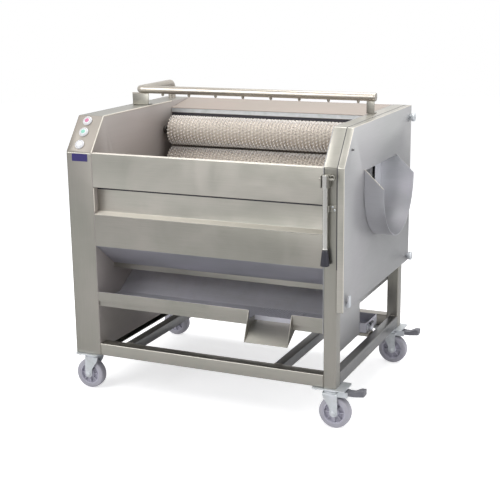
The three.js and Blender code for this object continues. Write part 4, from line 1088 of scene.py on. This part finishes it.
class PEELER_OT_casters(bpy.types.Operator):
    """Four casters: bolted plate and bearing race, bent fork with its axle, tyre on a ribbed hub, brake pedals"""
    bl_idname = "peeler.casters"
    bl_label = "Casters"

    def execute(self, context):
        for corner, x, y, side in (("front_left", 40, 40, -1), ("rear_left", 46, 640, -1),
                                   ("front_right", 883, 30, 1), ("rear_right", 877, 650, 1)):
            plate, fork, wheel, pedal = (f"{part}_{corner}" for part in (
                "caster_plate", "caster_fork", "caster_wheel", "brake_pedal"))
            make_piece(plate + "_bolted", moved(self.plate(side), (x, y, 0)), ["Zinc"], (plate,), 0.6)
            trail = side * WHEEL_TRAIL
            parts = [self.fork(trail), self.brake()] if side > 0 else [self.fork(trail)]
            make_piece(fork + "_bent", moved(together(*parts), (x, y, 0)), ["Zinc"], (fork,), 0.7,
                       fork)
            make_piece(wheel + "_moulded", moved(self.wheel(), (x + trail, y, WHEEL_RADIUS), Y_AXES),
                       ["Wheel tread", "Wheel hub"], (wheel,), body=wheel, smooth_angle=40)
            if side > 0:
                dressed(pedal, "Pedal plastic", pedal, radius=2.2)
        return {"FINISHED"}

    def plate(self, side):
        half_x, half_y = (52, 40) if side > 0 else (40, 52)
        race = turned([(20, 118.8), (26.8, 118.8), (27.8, 120), (27.8, 124.5), (26.0, 127), (29, 128.2)], 40)
        corners = np.column_stack([rectangle(12 - half_x, half_x - 12, 12 - half_y, half_y - 12), np.full(4, 127.6)])
        return together(block(-half_x, half_x, -half_y, half_y, 127.7, 131.7, radius=8), race,
                        repeated(bolt(5.2, 3.2), corners, facing((0, 0, -1))))

    def fork(self, trail):
        """A strip bent over the wheel: it runs up one leg, over the crown and down the other.

        Its half width falls from the crown to the leg and ends in a half round; its middle moves to the trail."""
        path = rounded([(-19.5, 38.2), (-19.5, 112.3), (19.5, 112.3), (19.5, 38.2)], 6, 5, closed=False)
        path = np.concatenate([spaced(path[:7], 3.0)[:-1], path[6:-6], spaced(path[-7:], 3.0)[1:]])
        y, z = path.T
        fall = np.clip((108 - z) / 48, 0, 1)
        fall = fall * fall * (3 - 2 * fall)
        drop = np.clip((50.5 - z) / 12.5, 0, 0.985)
        half = (24 + (12.5 - 24) * fall) * np.sqrt(1 - drop ** 2)
        along = unit(np.gradient(path, axis=0))
        strip = loft(np.stack([
            np.column_stack([trail * fall + across * half, y + along[:, 1] * deep, z - along[:, 0] * deep])
            for across, deep in ((-1, -1.5), (-1, 1.5), (1, 1.5), (1, -1.5))], 1))
        race = turned([(14, 112), (25.6, 112.6), (25.8, 116), (24.8, 118), (14, 118.2)], 40)
        nuts = [moved(bolt(6.6, 3.6, 1.25), (trail, end * 20.9, WHEEL_RADIUS), facing((0, end, 0))) for end in (-1, 1)]
        axle = moved(turned([(4.9, -21), (4.9, 21)], 20), (trail, 0, WHEEL_RADIUS), Y_AXES)
        return together(strip, race, axle, *nuts)

    def brake(self):
        """Two cheeks beside the wheel and the pin that the pedal turns on."""
        outline = rounded([(20, 103), (56, 103), (56, 121), (32, 121), (20, 114)], 3, 3)
        cheeks = [prism(outline, start, start + 3, "y") for start in (-17.8, 14.8)]
        return together(*cheeks, moved(turned([(3.0, -17.4), (3.0, 17.4)], 16), (38, 0, 113), Y_AXES))

    def wheel(self):
        """A tyre with a crowned tread, and a hub of a rim, a disc, eight ribs and a boss, turned about the axle."""
        t = np.linspace(-1, 1, 7)
        tread = np.stack([49.9 - 1.1 * np.abs(t) ** 3, 11.5 * t], 1)
        half = [(36.5, -14.6), (44.5, -14.6), (47.6, -13.6)]
        tyre = turned([*half, *tread, *[(r, -h) for r, h in half[::-1]]], 64, closed=True)
        rim = turned([(32.5, -13.9), (36.8, -13.9), (36.8, 13.9), (32.5, 13.9), (31.5, 11.0), (31.5, -11.0)], 48,
                     kind=1, closed=True)
        disc = turned([(14, -4), (32, -4), (32, 4), (14, 4)], 48, kind=1, closed=True)
        boss = turned([(5.5, -14.2), (12, -14.2), (14.6, -11), (14.6, 11), (12, 14.2), (5.5, 14.2)], 32, kind=1,
                      closed=True)
        angle = np.arange(8) * np.pi / 4
        c, s, o = np.cos(angle), np.sin(angle), np.zeros(8)
        turns = np.stack([np.stack([c, -s, o], 1), np.stack([s, c, o], 1), np.stack([o, o, o + 1], 1)], 1)
        ribs = repeated(block(13.5, 32.5, -1.2, 1.2, -10.2, 10.2, kind=1), np.zeros((8, 3)), turns)
        return together(tyre, rim, disc, boss, ribs)


STEPS = (
    PEELER_OT_stage, PEELER_OT_drive_box, PEELER_OT_controls, PEELER_OT_sheets, PEELER_OT_frame_tubes,
    PEELER_OT_rollers, PEELER_OT_spray, PEELER_OT_tray, PEELER_OT_chute, PEELER_OT_lever,
    PEELER_OT_cover_fasteners, PEELER_OT_pan, PEELER_OT_casters)


class PEELER_PT_steps(bpy.types.Panel):
    bl_idname = "PEELER_PT_steps"
    bl_label = "Potato peeler"
    bl_space_type = "VIEW_3D"
    bl_region_type = "UI"
    bl_category = "Peeler"

    def draw(self, context):
        for settings in (context.scene.peeler_sizes, context.scene.peeler_colours):
            box = self.layout.box()
            for key in settings.__annotations__:
                box.prop(settings, key)
        for step in STEPS:
            self.layout.operator(step.bl_idname)


CLASSES = (PeelerSizes, PeelerColours, *STEPS, PEELER_PT_steps)


def register():
    for made in CLASSES:
        bpy.utils.register_class(made)
    bpy.types.Scene.peeler_sizes = bpy.props.PointerProperty(type=PeelerSizes)
    bpy.types.Scene.peeler_colours = bpy.props.PointerProperty(type=PeelerColours)


def unregister():
    del bpy.types.Scene.peeler_colours
    del bpy.types.Scene.peeler_sizes
    for made in reversed(CLASSES):
        bpy.utils.unregister_class(made)


def main():
    register()
    bpy.ops.peeler.stage()
    bpy.ops.peeler.drive_box()
    bpy.ops.peeler.controls()
    bpy.ops.peeler.sheets()
    bpy.ops.peeler.frame_tubes()
    bpy.ops.peeler.rollers()
    bpy.ops.peeler.spray()
    bpy.ops.peeler.tray()
    bpy.ops.peeler.chute()
    bpy.ops.peeler.lever()
    bpy.ops.peeler.cover_fasteners()
    bpy.ops.peeler.pan()
    bpy.ops.peeler.casters()


if __name__ == "__main__":
    main()
